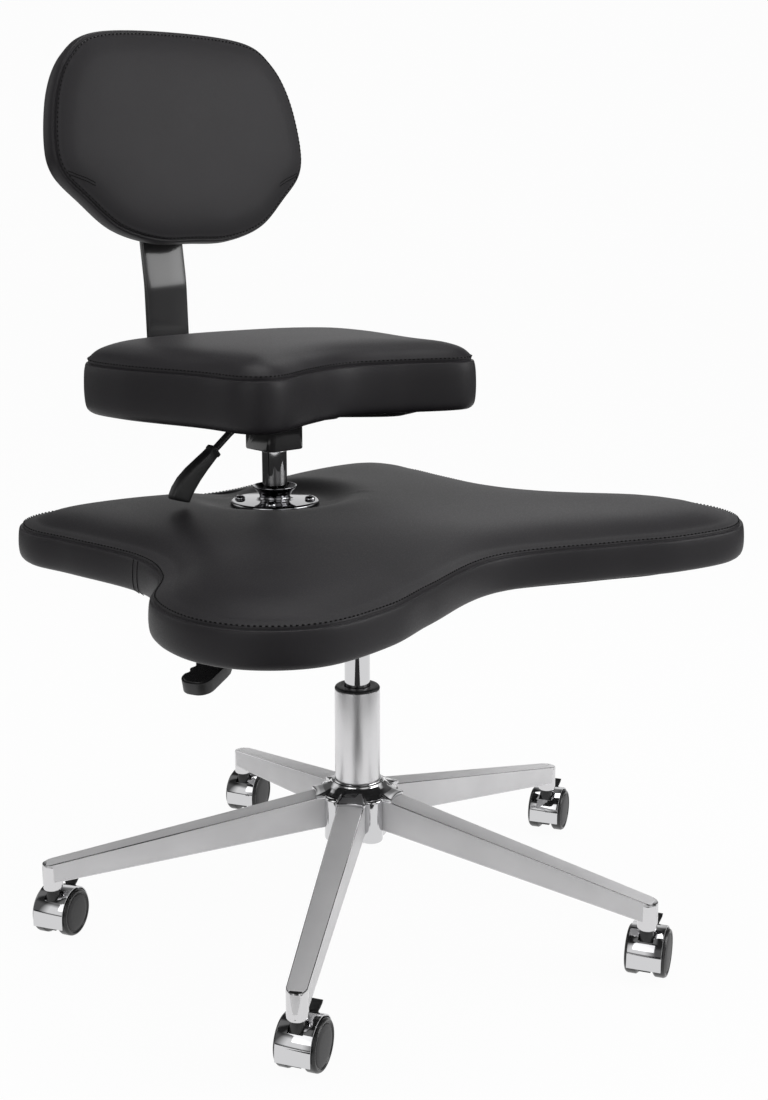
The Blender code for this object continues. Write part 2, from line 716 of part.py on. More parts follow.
def make_platform_mount(finishes, axis, pivot, pivot_height):
    cavity = MOUNT_RADIUS - MOUNT_WALL
    socket = PISTON_NECK + SEAT
    socket_top = MOUNT_BOTTOM + MOUNT_SOCKET
    flange_low = MOUNT_TOP - MOUNT_FLANGE
    housing = turned([
        (cavity, MOUNT_TOP), (MOUNT_FLANGE_RADIUS, MOUNT_TOP), (MOUNT_FLANGE_RADIUS, flange_low),
        (MOUNT_RADIUS, flange_low), (MOUNT_RADIUS, MOUNT_BOTTOM), (socket, MOUNT_BOTTOM),
        (socket, socket_top), (cavity, socket_top),
    ])
    slot = lever_slot(PLATFORM_LEVER_RADIUS, MOUNT_WALL, PLATFORM_LEVER_DROOP + PLATFORM_LEVER_ROCK)
    slot = moved(slot, Matrix.Translation((pivot, 0, pivot_height)))
    slot = moved(slot, Matrix.Rotation(math.radians(PLATFORM_LEVER_TURN), 4, "Z"))
    mesh = combined("platform_mount", housing, [("DIFFERENCE", slot)])
    object_of("platform_mount", mesh, finishes["black_steel"], axis)


def post_hole():
    # Through the platform's cushion and board, for the post's tube.
    hole = rod_between(TUBE_RADIUS + SEAT, MOUNT_TOP - BOARD_THICKNESS, FLANGE_TOP)
    return moved(hole, Matrix.Translation((0, POST_OFFSET, 0)))


def make_platform(finishes, axis):
    outline = closed_curve(PLATFORM_HALF, PLATFORM_POINTS)
    centre = Vector((0.0, POST_OFFSET))
    rings = padded_rim(outline, PLATFORM_BOTTOM, PLATFORM_SEAM, PLATFORM_EDGE, 0.0)
    rim = [Vector(point[:2]) for point in rings[-1]]
    rim_height = rings[-1][0][2]
    crown_height = PLATFORM_SEAM + PLATFORM_CROWN
    bed = FLANGE_RADIUS + FLANGE_THICKNESS
    for share in PLATFORM_RINGS:
        rise = rim_height + (crown_height - rim_height) * crown_rise(share)
        points = []
        for p in towards(rim, centre, share, bed):
            dip = smooth_step(1.0 - ((p - centre).length - bed) / (DIMPLE_RADIUS - bed))
            points.append((p.x, p.y, rise - FLANGE_DIP * dip))
        rings.append(points)
    mesh = combined("platform_cushion", loft(rings), [("DIFFERENCE", post_hole())])
    object_of("platform_cushion", mesh, finishes["leatherette"], axis)

    board_outline = inset_outline(closed_curve(PLATFORM_HALF, PLATFORM_BOARD_POINTS), PLATFORM_BOARD_INSET)
    board = board_of(board_outline, PLATFORM_BOARD_BOTTOM, BOARD_THICKNESS)
    mesh = combined("platform_board", board, [("DIFFERENCE", post_hole())])
    object_of("platform_board", mesh, finishes["board"], axis)


def make_post(finishes, axis):
    post = empty_at("post_axis", (0, POST_OFFSET, 0), parent=axis)
    bore = PISTON_RADIUS + RUN
    plate_top = FLANGE_BOTTOM + FLANGE_THICKNESS
    flare = FLANGE_TOP - FLANGE_CUP
    flange = turned([
        (bore, flare), (FLANGE_NECK, flare), (FLANGE_RIM - FLANGE_LIP, FLANGE_TOP), (FLANGE_RIM, FLANGE_TOP),
        (FLANGE_RIM, flare), (FLANGE_NECK + FLANGE_FILLET / 2, flare - FLANGE_CUP / 2),
        (FLANGE_NECK + FLANGE_FILLET, plate_top), (FLANGE_RADIUS, plate_top),
        (FLANGE_RADIUS, FLANGE_BOTTOM), (bore, FLANGE_BOTTOM),
    ])
    hole_low = FLANGE_BOTTOM - FLANGE_THICKNESS
    hole_high = plate_top + FLANGE_THICKNESS

    def bolt_hole():
        hole = rod_between(BOLT_SHANK + SEAT, hole_low, hole_high, BOLT_SIDES)
        return moved(hole, Matrix.Translation((BOLT_CIRCLE, 0, 0)))

    first_bolt = 180.0 / BOLT_COUNT
    holes = copies_round(bolt_hole, BOLT_COUNT, first_bolt)
    mesh = combined("post_flange", flange, [("DIFFERENCE", holes)])
    object_of("post_flange", mesh, finishes["chrome"], post)

    head_low = plate_top + SEAT
    head_high = head_low + BOLT_HEAD_HEIGHT
    bolt = turned([
        (0, head_high), (BOLT_TOP, head_high), (BOLT_HEAD, head_high - BOLT_HEAD_HEIGHT / 3),
        (BOLT_HEAD, head_low), (BOLT_SHANK, head_low), (BOLT_SHANK, FLANGE_BOTTOM), (0, FLANGE_BOTTOM),
    ], BOLT_SIDES)
    bolt_mesh = mesh_of("flange_bolt", bolt)
    for i in range(BOLT_COUNT):
        place = polar(BOLT_CIRCLE, first_bolt + 360.0 * i / BOLT_COUNT)
        object_of("flange_bolt_%d" % (i + 1), bolt_mesh, finishes["chrome"], post, (*place, 0))

    tube_top = FLANGE_BOTTOM - SEAT
    tube_bottom = tube_top - POST_DROP
    tube = lift_tube(tube_top, tube_bottom)
    object_of("post_tube", mesh_of("post_tube", tube), finishes["black_steel"], post)

    shoulder = tube_bottom + TUBE_FLOOR + SEAT
    piston_bottom = shoulder + SHOULDER_HEIGHT + BORE_SPARE
    rod_top = piston_bottom + SEAT_LIFT + ROD_OVERLAP
    rod = lift_rod(rod_top, shoulder, tube_bottom, [])
    object_of("post_rod", mesh_of("post_rod", rod), finishes["steel"], post)

    piston_top = MECHANISM_BOTTOM + MECHANISM_SOCKET
    piston = lift_piston(piston_top, MECHANISM_BOTTOM - SEAT, piston_bottom, rod_top + BORE_SPARE)
    object_of("post_cylinder", mesh_of("post_cylinder", piston), finishes["chrome"], post)
    object_of("post_valve_pin", mesh_of("post_valve_pin", valve_pin(piston_top)), finishes["steel"], post)
    return post


def make_mechanism(finishes, post):
    pivot = MECHANISM_WIDTH / 2 - MECHANISM_WALL / 2
    pin_top = MECHANISM_BOTTOM + MECHANISM_SOCKET + PIN_SHOWING
    lever_height = pin_top + PIN_GAP + SEAT_LEVER_RADIUS
    plate_low = MECHANISM_TOP - PLATE_THICKNESS
    width = MECHANISM_WIDTH
    box = rounded_box(width, width, MECHANISM_BOTTOM, plate_low + PLATE_THICKNESS / 2, MECHANISM_ROUND, 4)
    plate = rounded_box(PLATE_WIDTH, PLATE_DEPTH, plate_low, MECHANISM_TOP, MECHANISM_ROUND, 4)
    socket_top = MECHANISM_BOTTOM + MECHANISM_SOCKET
    inner = width - 2 * MECHANISM_WALL
    above = MECHANISM_TOP + PLATE_THICKNESS
    cavity = rounded_box(inner, inner, socket_top, above, MECHANISM_ROUND - MECHANISM_WALL, 4)
    below = MECHANISM_BOTTOM - PLATE_THICKNESS
    bore = rod_between(PISTON_NECK + SEAT, below, above)
    slot = lever_slot(SEAT_LEVER_RADIUS, MECHANISM_WALL, SEAT_LEVER_ROCK)
    slot = moved(slot, Matrix.Translation((-pivot, 0, lever_height)))
    mesh = combined("seat_mechanism", box, [
        ("UNION", plate), ("DIFFERENCE", cavity), ("DIFFERENCE", bore), ("DIFFERENCE", slot),
    ])
    object_of("seat_mechanism", mesh, finishes["black_steel"], post)

    hinge = empty_at("seat_lever_axis", (-pivot, 0, lever_height), (0, 0, 180), post)
    slope = Vector(polar(1.0, -SEAT_LEVER_SLOPE))
    bend = Vector((SEAT_LEVER_STRAIGHT - pivot, 0.0))
    path = [(-pivot - PIN_RADIUS, 0.0), bend, bend + slope * SEAT_LEVER_RUN]
    rod = swept(path, circle(SEAT_LEVER_RADIUS, SMALL_SIDES))
    object_of("seat_lever_rod", mesh_of("seat_lever_rod", rod), finishes["black_steel"], hinge)

    start = bend + slope * HANDLE_START
    collar = HANDLE_COLLAR / 2
    upper = [
        (0.0, collar), (HANDLE_NECK, collar), (HANDLE_SPREAD, HANDLE_SPREAD_WIDTH / 2),
        (HANDLE_LENGTH, HANDLE_END_WIDTH / 2),
    ]
    outline = [(x, -z) for x, z in upper] + list(reversed(upper))
    handle = side_prism(outline, HANDLE_THICKNESS / 2)
    handle.faces.ensure_lookup_table()
    bevel(handle, list(handle.faces[-1].edges) + list(handle.faces[-2].edges), HANDLE_EDGE, 2)
    hole_end = SEAT_LEVER_RUN - HANDLE_START + SEAT
    hole = across_hole(SEAT_LEVER_RADIUS + SEAT, -SEAT_LEVER_RADIUS, hole_end)
    handle_mesh = combined("seat_lever_handle", handle, [("DIFFERENCE", hole)])
    object_of(
        "seat_lever_handle", handle_mesh, finishes["black_plastic"], hinge, (start.x, 0, start.y),
        (0, SEAT_LEVER_SLOPE, 0),
    )


def make_seat(finishes, post):
    centre = Vector((0.0, POST_OFFSET))
    outline = closed_curve(SEAT_HALF, SEAT_POINTS)
    cushion = pad(outline, centre, SEAT_BOTTOM, SEAT_SEAM, SEAT_CROWN, SEAT_EDGE)
    back = (0, -POST_OFFSET, 0)
    object_of("seat_cushion", mesh_of("seat_cushion", cushion), finishes["leatherette"], post, back)
    board_outline = inset_outline(closed_curve(SEAT_HALF, SEAT_BOARD_POINTS), SEAT_BOARD_INSET)
    board = board_of(board_outline, SEAT_BOARD_BOTTOM, SEAT_BOARD_THICKNESS)
    object_of("seat_board", mesh_of("seat_board", board), finishes["board"], post, back)


def make_back(finishes, post):
    # The bar's path in (rear, up): under the seat, round the bend, up to the kink and behind the pad.
    half = BAR_THICKNESS / 2
    upright = SEAT_HALF[-1][1] + BAR_BEHIND_SEAT + half
    low = SEAT_BOARD_BOTTOM - SEAT - half
    kink_height = SEAT_SEAM + BAR_KINK_RISE
    lean = Vector(polar(1.0, 90.0 - BAR_LEAN))
    back_lean = Vector(polar(1.0, 90.0 - BACK_LEAN))
    path = [Vector((upright - BAR_UNDER_SEAT, low))]
    path += [Vector(p) for p in arc((upright - BAR_BEND, low + BAR_BEND), BAR_BEND, -90, -BAR_LEAN, 6)]
    kink = path[-1] + lean * ((kink_height - path[-1].y) / lean.y)
    middle = kink + back_lean * BACK_RISE
    path += [kink, middle + back_lean * BAR_ABOVE_MIDDLE]
    edge = BAR_EDGE
    side = BAR_WIDTH / 2
    section = [
        (-half, side - edge), (-half, edge - side), (edge - half, -side), (half - edge, -side),
        (half, edge - side), (half, side - edge), (half - edge, side), (edge - half, side),
    ]
    bar = mesh_of("back_bar", swept(path, section))
    object_of("back_bar", bar, finishes["black_steel"], post, (0, -POST_OFFSET, 0), (0, 0, 90))

    # The backrest's own frame lies on the bar's front face, its Z along the lean.
    face = middle + Vector((-back_lean.y, back_lean.x)) * half
    rest = empty_at("backrest_frame", (0, face.x - POST_OFFSET, face.y), (-BACK_LEAN, 0, 0), post)
    outline = closed_curve(BACK_HALF, BACK_POINTS)
    board = board_of(inset_outline(outline, BACK_BOARD_INSET), SEAT, BACK_BOARD_THICKNESS)
    object_of("back_board", mesh_of("back_board", board), finishes["board"], rest, rotation=(90, 0, 0))
    pad_back = SEAT + BACK_BOARD_THICKNESS + SEAT
    seam = pad_back + BACK_BAND
    cushion = pad(outline, Vector((0.0, 0.0)), pad_back, seam, BACK_CROWN, BACK_EDGE, BACK_TUCK)
    cushion_mesh = mesh_of("backrest_cushion", cushion)
    object_of("backrest_cushion", cushion_mesh, finishes["leatherette"], rest, rotation=(90, 0, 0))


def pedal_angle(lean, barrel_radius):
    # Where a brake pedal of a given lean passes through the hood, degrees about the axle.
    slant = math.radians(lean - BRAKE_ANGLE)
    return BRAKE_ANGLE + math.degrees((HOOD_OUTER - barrel_radius) * math.tan(slant) / HOOD_OUTER)


def make_casters(finishes, stand):
    # One caster in its own frame: the stem on Z, the trail along X, the axle along Y.
    axle_height = WHEEL_RADIUS * math.cos(math.pi / WHEEL_SIDES)
    axle = (CASTER_TRAIL, axle_height)
    wheel_inner = NECK_RADIUS + WHEEL_SIDE_GAP
    bore_depth = WHEEL_WIDTH - WHEEL_CAP
    stem_bottom = NECK_TOP - STEM_DEPTH
    web_radius = HOOD_INNER - SEAT
    barrel_radius = web_radius - BRAKE_BARREL
    barrel = [start + step for start, step in zip(axle, polar(barrel_radius, BRAKE_ANGLE))]

    bore = AXLE_RADIUS + RUN
    shoulder = WHEEL_RADIUS - TYRE_EDGE
    wheel = mesh_of("caster_wheel", turned([
        (bore, 0), (shoulder, 0), (WHEEL_RADIUS, TYRE_EDGE), (WHEEL_RADIUS, WHEEL_WIDTH - TYRE_EDGE),
        (shoulder, WHEEL_WIDTH), (DISC_RADIUS, WHEEL_WIDTH - WHEEL_DISH),
        (DISC_RADIUS - WHEEL_DISH, WHEEL_WIDTH), (0, WHEEL_WIDTH), (0, bore_depth), (bore, bore_depth),
    ], WHEEL_SIDES))

    stem_top = LEG_TIP_TOP - SOCKET_ROOF - SEAT
    stem = mesh_of("caster_stem", turned([
        (0, stem_top), (STEM_TIP, stem_top), (STEM_RADIUS, stem_top - STEM_RADIUS / 2),
        (STEM_RADIUS, stem_bottom), (0, stem_bottom),
    ], SMALL_SIDES))

    step_angle = BRAKE_ANGLE + WEB_STEP
    web_outline = arc(axle, web_radius, WEB_FRONT, step_angle, 12)
    web_outline += arc(axle, barrel_radius, step_angle, WEB_REAR, 5)
    web = side_prism(web_outline, NECK_RADIUS - SEAT)
    neck = rod_between(NECK_RADIUS, stem_bottom - STEM_RADIUS, NECK_TOP, SMALL_SIDES)
    axle_half = wheel_inner + bore_depth - SEAT
    lay_along_y = Matrix.Rotation(math.radians(90.0), 4, "X")
    to_axle = Matrix.Translation((axle[0], 0, axle[1])) @ lay_along_y
    to_barrel = Matrix.Translation((barrel[0], 0, barrel[1])) @ lay_along_y
    spindle = rod_between(AXLE_RADIUS, -axle_half, axle_half, BORE_SIDES)
    trough = rod_between(BRAKE_BARREL + RUN, -wheel_inner, wheel_inner, BORE_SIDES)
    stem_bore = rod_between(STEM_RADIUS + RUN, stem_bottom - SEAT, NECK_TOP + NECK_RISE, SMALL_SIDES)
    body = combined("caster_body", web, [
        ("UNION", neck), ("UNION", moved(spindle, to_axle)),
        ("DIFFERENCE", stem_bore), ("DIFFERENCE", moved(trough, to_barrel)),
    ])

    hood_middle = HOOD_INNER + HOOD_WALL / 2
    hood_path = [(CASTER_TRAIL - hood_middle, SKIRT_FLOOR_GAP)]
    hood_path += arc(axle, hood_middle, 180, HOOD_REAR_ANGLE, 16)
    wall = HOOD_WALL / 2
    side = HOOD_HALF_WIDTH
    hood = swept(hood_path, [(-wall, -side), (wall, -side), (wall, side), (-wall, side)])
    notch = rod_between(NECK_RADIUS + WHEEL_SIDE_GAP, axle_height + NOTCH_RISE, NECK_TOP, SMALL_SIDES)
    slot_half = BRAKE_FOOT_WIDTH / 2 + WHEEL_SIDE_GAP
    slot_room = math.degrees(BRAKE_THICKNESS / HOOD_OUTER)
    slot_start = pedal_angle(BRAKE_LEAN, barrel_radius) + slot_room
    slot_end = pedal_angle(BRAKE_LEAN - BRAKE_TRAVEL, barrel_radius) - slot_room
    slot_outline = arc(axle, HOOD_OUTER + HOOD_WALL, slot_end, slot_start, 3)
    slot_outline += arc(axle, web_radius, slot_start, slot_end, 3)
    hood_mesh = combined("caster_hood", hood, [
        ("DIFFERENCE", notch), ("DIFFERENCE", side_prism(slot_outline, slot_half)),
    ])

    foot = BRAKE_FOOT_WIDTH / 2
    top = BRAKE_TOP_WIDTH / 2
    thick = BRAKE_THICKNESS / 2
    stations = [
        (0.0, foot, thick), (BRAKE_FLARE, foot, thick), (BRAKE_LENGTH - BRAKE_EDGE, top, thick),
        (BRAKE_LENGTH, top - BRAKE_EDGE, thick - BRAKE_EDGE),
    ]
    pedal = loft([
        [(x, -wide, -deep), (x, wide, -deep), (x, wide, deep), (x, -wide, deep)] for x, wide, deep in stations
    ])
    roll = rod_between(BRAKE_BARREL, -foot, foot, BORE_SIDES)
    pedal = moved(pedal, Matrix.Rotation(math.radians(-BRAKE_LEAN), 4, "Y"))
    brake = combined("caster_brake", moved(roll, lay_along_y), [("UNION", pedal)])

    half_facet = 180.0 / WHEEL_SIDES
    for i in range(CASTER_COUNT):
        place = polar(LEG_REACH, FIRST_LEG + 360.0 * i / CASTER_COUNT)
        axis = empty_at("caster_axis_%d" % (i + 1), (*place, 0), (0, 0, CASTER_TURN), stand)
        object_of("caster_stem_%d" % (i + 1), stem, finishes["steel"], axis)
        object_of("caster_body_%d" % (i + 1), body, finishes["black_plastic"], axis)
        object_of("caster_hood_%d" % (i + 1), hood_mesh, finishes["chrome"], axis)
        for name, side_sign in (("left", 1), ("right", -1)):
            object_of(
                "caster_wheel_%s_%d" % (name, i + 1), wheel, finishes["black_plastic"], axis,
                (axle[0], side_sign * wheel_inner, axle[1]), (-90 * side_sign, half_facet, 0),
            )
        object_of(
            "caster_brake_%d" % (i + 1), brake, finishes["black_plastic"], axis, (barrel[0], 0, barrel[1])
        )


def main():
    clear_scene()
    finishes = {
        "satin": finish("satin_aluminium", (0.45, 0.44, 0.45), 0.3, 1.0),
        "chrome": finish("chrome", (0.6, 0.6, 0.62), 0.08, 1.0),
        "steel": finish("bright_steel", (0.4, 0.4, 0.42), 0.3, 1.0),
        "black_steel": finish("black_painted_steel", (0.012, 0.012, 0.013), 0.35),
        "black_plastic": finish("black_plastic", (0.010, 0.010, 0.011), 0.4),
        "leatherette": finish("black_leatherette", (0.030, 0.029, 0.031), 0.5),
        "board": finish("black_board", (0.015, 0.015, 0.015), 0.7),
    }
    column = empty_at("column_axis", (COLUMN_X, COLUMN_Y, 0))
    make_base(finishes, column)
    make_casters(finishes, column)
    make_column(finishes, column)
    pivot, pivot_height = make_platform_lever(finishes, column)
    make_platform_mount(finishes, column, pivot, pivot_height)
    make_platform(finishes, column)
    post = make_post(finishes, column)
    make_mechanism(finishes, post)
    make_seat(finishes, post)
    make_back(finishes, post)


main()
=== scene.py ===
import math

import bmesh
import bpy
from mathutils import Matrix, Vector, bvhtree, kdtree, noise


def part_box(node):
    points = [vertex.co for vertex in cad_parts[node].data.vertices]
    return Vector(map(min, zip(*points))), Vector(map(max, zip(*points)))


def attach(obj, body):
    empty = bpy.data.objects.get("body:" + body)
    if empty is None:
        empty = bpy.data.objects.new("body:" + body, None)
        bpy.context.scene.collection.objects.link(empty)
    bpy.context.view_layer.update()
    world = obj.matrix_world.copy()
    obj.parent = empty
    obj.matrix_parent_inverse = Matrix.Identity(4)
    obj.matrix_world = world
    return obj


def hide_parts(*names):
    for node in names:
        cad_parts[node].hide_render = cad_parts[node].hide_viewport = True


# cross-legged office chair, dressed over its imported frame; metres, the sitter faces -Y

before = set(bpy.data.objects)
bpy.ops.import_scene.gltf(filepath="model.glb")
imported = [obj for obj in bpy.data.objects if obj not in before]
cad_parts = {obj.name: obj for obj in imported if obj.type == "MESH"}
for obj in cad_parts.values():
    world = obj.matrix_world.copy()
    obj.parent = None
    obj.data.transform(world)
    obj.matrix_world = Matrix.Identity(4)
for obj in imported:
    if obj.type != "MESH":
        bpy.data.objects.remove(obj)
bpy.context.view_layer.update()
scene = bpy.context.scene
print("frame loaded:", len(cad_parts), "nodes")


def middleOf(node):
    low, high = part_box(node)
    return (low + high) / 2


columnAt = middleOf("column_tube").xy
postAt = middleOf("post_tube").xy
toColumn = Matrix.Translation((*columnAt, 0))
toPost = Matrix.Translation((*postAt, 0))


# small mesh tools

def polar(radius, degrees):
    return Vector((radius * math.cos(math.radians(degrees)), radius * math.sin(math.radians(degrees))))


def arcPoints(centre, radius, start, end, steps):
    return [Vector(centre) + polar(radius, start + (end - start) * i / steps) for i in range(steps + 1)]


def shift(x, y, z):
    return Matrix.Translation((x, y, z))


def turn(degrees, axis):
    return Matrix.Rotation(math.radians(degrees), 4, axis)


def moved(bm, matrix):
    bmesh.ops.transform(bm, matrix=matrix, verts=bm.verts)
    return bm


def linked(name, data):
    # a new object in the scene
    fresh = bpy.data.objects.new(name, data)
    scene.collection.objects.link(fresh)
    return fresh


def merged(parts):
    # several bmeshes as one
    whole = bmesh.new()
    for part in parts:
        scratch = bpy.data.meshes.new("scratch")
        bmesh.ops.recalc_face_normals(part, faces=part.faces)
        part.to_mesh(scratch)
        part.free()
        whole.from_mesh(scratch)
        bpy.data.meshes.remove(scratch)
    return whole


def eased(start, corner, end, steps):
    # a bend that leaves out a corner
    bend = []
    for k in range(steps + 1):
        t = k / steps
        bend.append(start * (1 - t) ** 2 + corner * 2 * t * (1 - t) + end * t * t)
    return bend


def splined(points, steps):
    # a smooth line between the middle two of four points
    p0, p1, p2, p3 = points
    line = []
    for k in range(steps):
        t = k / steps
        line.append(0.5 * (
            2 * p1 + (p2 - p0) * t + (2 * p0 - 5 * p1 + 4 * p2 - p3) * t * t + (3 * p1 - p0 - 3 * p2 + p3) * t ** 3
        ))
    return line


def lengthsAlong(line):
    lengths = [0.0]
    for a, b in zip(line, line[1:]):
        lengths.append(lengths[-1] + (b - a).length)
    return lengths


def roundedRectangle(width, depth, radius, steps=6):
    outline = []
    for x, y, start in ((1, 1, 0), (-1, 1, 90), (-1, -1, 180), (1, -1, 270)):
        outline += arcPoints((x * (width / 2 - radius), y * (depth / 2 - radius)), radius, start, start + 90, steps)
    return outline


def soften(profile, size, steps=2):
    # rounds the corners of a closed outline; points on the axis stay sharp
    points = [Vector(p) for p in profile]
    soft = []
    for i, p in enumerate(points):
        before = points[i - 1] - p
        after = points[(i + 1) % len(points)] - p
        if p.x < 1e-6:
            soft.append(p)
            continue
        a = p + before.normalized() * min(size, before.length * 0.45)
        b = p + after.normalized() * min(size, after.length * 0.45)
        soft += eased(a, p, b, steps)
    return soft


def turned(profile, steps=64):
    # a closed outline of (radius, height) spun about Z
    bm = bmesh.new()
    ring = [bm.verts.new((p[0], 0, p[1])) for p in profile]
    edges = [bm.edges.new(pair) for pair in zip(ring, ring[1:] + ring[:1]) if pair[0].co.x + pair[1].co.x > 1e-9]
    bmesh.ops.spin(
        bm, geom=ring + edges, cent=(0, 0, 0), axis=(0, 0, 1), angle=math.tau, steps=steps, use_merge=True
    )
    bmesh.ops.remove_doubles(bm, verts=bm.verts, dist=1e-6)
    return bm


def extrudeRing(bm, ring, points):
    # grows a closed ring of vertices by one row
    edges = [bm.edges.get(pair) for pair in zip(ring, ring[1:] + ring[:1])]
    made = bmesh.ops.extrude_edge_only(bm, edges=edges)["geom"]
    byPlace = {tuple(v.co): v for v in made if isinstance(v, bmesh.types.BMVert)}
    fresh = [byPlace[tuple(v.co)] for v in ring]
    for v, point in zip(fresh, points):
        v.co = point
    return fresh


def firstRing(bm, points):
    ring = [bm.verts.new(p) for p in points]
    for pair in zip(ring, ring[1:] + ring[:1]):
        bm.edges.new(pair)
    return ring


def skinned(rings):
    # rows of equal count, closed at both ends
    bm = bmesh.new()
    ring = firstRing(bm, rings[0])
    bmesh.ops.contextual_create(bm, geom=ring)
    for points in rings[1:]:
        ring = extrudeRing(bm, ring, points)
    bmesh.ops.contextual_create(bm, geom=ring)
    return bm


def sweptAlong(path, section):
    # a section of (across, sideways) points along a path in the XZ plane, mitred at its bends
    path = [Vector(p) for p in path]
    steps = [(b - a).normalized() for a, b in zip(path, path[1:])]
    rings = []
    for i, p in enumerate(path):
        after = steps[min(i, len(steps) - 1)]
        along = (steps[max(i - 1, 0)] + after).normalized()
        across = Vector((-along.y, along.x)) / along.dot(after)
        rings.append([(p.x + across.x * u, v, p.y + across.y * u) for u, v in section])
    return skinned(rings)


def cylinder(radius, low, high, steps, soft=0.0):
    profile = [(0, high), (radius, high), (radius, low), (0, low)]
    return turned(soften(profile, soft) if soft else profile, steps)


def block(place, size):
    # a box of a size at a place
    bm = bmesh.new()
    bmesh.ops.create_cube(bm, size=1, matrix=place @ Matrix.Diagonal((*size, 1)))
    return bm


def circlePoints(radius, sides):
    return [polar(radius, 360 * i / sides) for i in range(sides)]


def slab(outline, low, high):
    return skinned([[(p[0], p[1], low) for p in outline], [(p[0], p[1], high) for p in outline]])


def rounded(bm, width, segments, angle=35):
    # bevels every edge that turns more than an angle
    edges = [e for e in bm.edges if len(e.link_faces) == 2 and e.calc_face_angle() > math.radians(angle)]
    return bmesh.ops.bevel(
        bm, geom=edges, offset=width, offset_type="OFFSET", segments=segments, profile=0.5,
        affect="EDGES", clamp_overlap=True, material=-1,
    )


def meshFrom(bm, name, sharp=40):
    bmesh.ops.remove_doubles(bm, verts=bm.verts, dist=1e-6)
    bmesh.ops.recalc_face_normals(bm, faces=bm.faces)
    mesh = bpy.data.meshes.new(name)
    bm.to_mesh(mesh)
    bm.free()
    mesh.shade_smooth()
    mesh.set_sharp_from_angle(angle=math.radians(sharp))
    return mesh


def carved(bm, cutters):
    # cuts shapes out of a mesh and hands the result back as a bmesh
    whole = linked("whole", meshFrom(bm, "whole"))
    tools = []
    for cutter in cutters:
        tool = linked("tool", meshFrom(cutter, "tool"))
        step = whole.modifiers.new("cut", "BOOLEAN")
        step.operation = "DIFFERENCE"
        step.solver = "EXACT"
        step.object = tool
        tools.append(tool)
    bpy.context.view_layer.update()
    cut = bpy.data.meshes.new_from_object(whole.evaluated_get(bpy.context.evaluated_depsgraph_get()))
    for used in [whole] + tools:
        bpy.data.objects.remove(used)
    result = bmesh.new()
    result.from_mesh(cut)
    bpy.data.meshes.remove(cut)
    return result


def addPiece(name, shape, body, finishes, replaced=(), sharp=40):
    # a mesh, or a bmesh made into one, as a piece that rides on a body
    mesh = meshFrom(shape, name, sharp) if isinstance(shape, bmesh.types.BMesh) else shape
    piece = linked(name, mesh)
    for finish in finishes:
        mesh.materials.append(finish)
    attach(piece, body)
    if replaced:
        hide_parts(*replaced)
    return piece


# materials

def newGroup(name, outputs, **inputs):
    # a node group that reads a place and some sizes
    group = bpy.data.node_groups.new(name, "ShaderNodeTree")
    group.interface.new_socket("Place", in_out="INPUT", socket_type="NodeSocketVector")
    for label, value in inputs.items():
        group.interface.new_socket(label, in_out="INPUT", socket_type="NodeSocketFloat").default_value = value
    for label in outputs:
        group.interface.new_socket(label, in_out="OUTPUT", socket_type="NodeSocketFloat")
    return group, group.nodes.new("NodeGroupInput").outputs, group.nodes.new("NodeGroupOutput").inputs


def feed(tree, socket, value):
    # a link for another node's output, else a plain value
    if isinstance(value, bpy.types.NodeSocket):
        tree.links.new(value, socket)
    else:
        socket.default_value = value


def newNode(tree, kind, **inputs):
    node = tree.nodes.new("ShaderNode" + kind)
    for label, value in inputs.items():
        feed(tree, node.inputs[label.replace("_", " ")], value)
    return node


def mathNode(tree, operation, first, second):
    node = newNode(tree, "Math")
    node.operation = operation
    feed(tree, node.inputs[0], first)
    feed(tree, node.inputs[1], second)
    return node.outputs[0]


def noiseNode(tree, vector, scale, detail=3.0, roughness=0.55):
    return newNode(tree, "TexNoise", Vector=vector, Scale=scale, Detail=detail, Roughness=roughness).outputs[0]


def makeGrainGroup():
    # pebbled skin: cells for the grain, a broad wander for its tone
    group, start, end = newGroup("pebbleGrain", ("Height", "Tone"), Cells=700.0, Wander=9.0)
    cells = newNode(group, "TexVoronoi", Vector=start["Place"], Scale=start["Cells"])
    cells.feature = "SMOOTH_F1"
    cells.inputs["Smoothness"].default_value = 0.35
    fine = noiseNode(group, start["Place"], mathNode(group, "MULTIPLY", start["Cells"], 2.2))
    height = mathNode(group, "ADD", cells.outputs["Distance"], mathNode(group, "MULTIPLY", fine, 0.5))
    group.links.new(height, end["Height"])
    group.links.new(noiseNode(group, start["Place"], start["Wander"]), end["Tone"])
    return group


def makeStreakGroup():
    # fine lines along the first axis of the given place
    group, start, end = newGroup("brushLines", ("Lines", "Patches"), Along=12.0, Across=900.0)
    stretch = newNode(group, "VectorMath")
    stretch.operation = "MULTIPLY"
    factors = newNode(group, "CombineXYZ", X=start["Along"], Y=start["Across"], Z=start["Across"])
    group.links.new(start["Place"], stretch.inputs[0])
    group.links.new(factors.outputs[0], stretch.inputs[1])
    group.links.new(noiseNode(group, stretch.outputs[0], 1.0, 4.0, 0.6), end["Lines"])
    group.links.new(noiseNode(group, start["Place"], 14.0), end["Patches"])
    return group


def makeSmudgeGroup():
    # uneven polish: broad handling marks and a little dust
    group, start, end = newGroup("handledPolish", ("Haze", "Ripple"), Size=28.0)
    broad = noiseNode(group, start["Place"], start["Size"], 5.0, 0.6)
    fine = noiseNode(group, start["Place"], mathNode(group, "MULTIPLY", start["Size"], 9.0), 2.0)
    group.links.new(mathNode(group, "MULTIPLY", broad, fine), end["Haze"])
    group.links.new(fine, end["Ripple"])
    return group


grainGroup = makeGrainGroup()
streakGroup = makeStreakGroup()
smudgeGroup = makeSmudgeGroup()


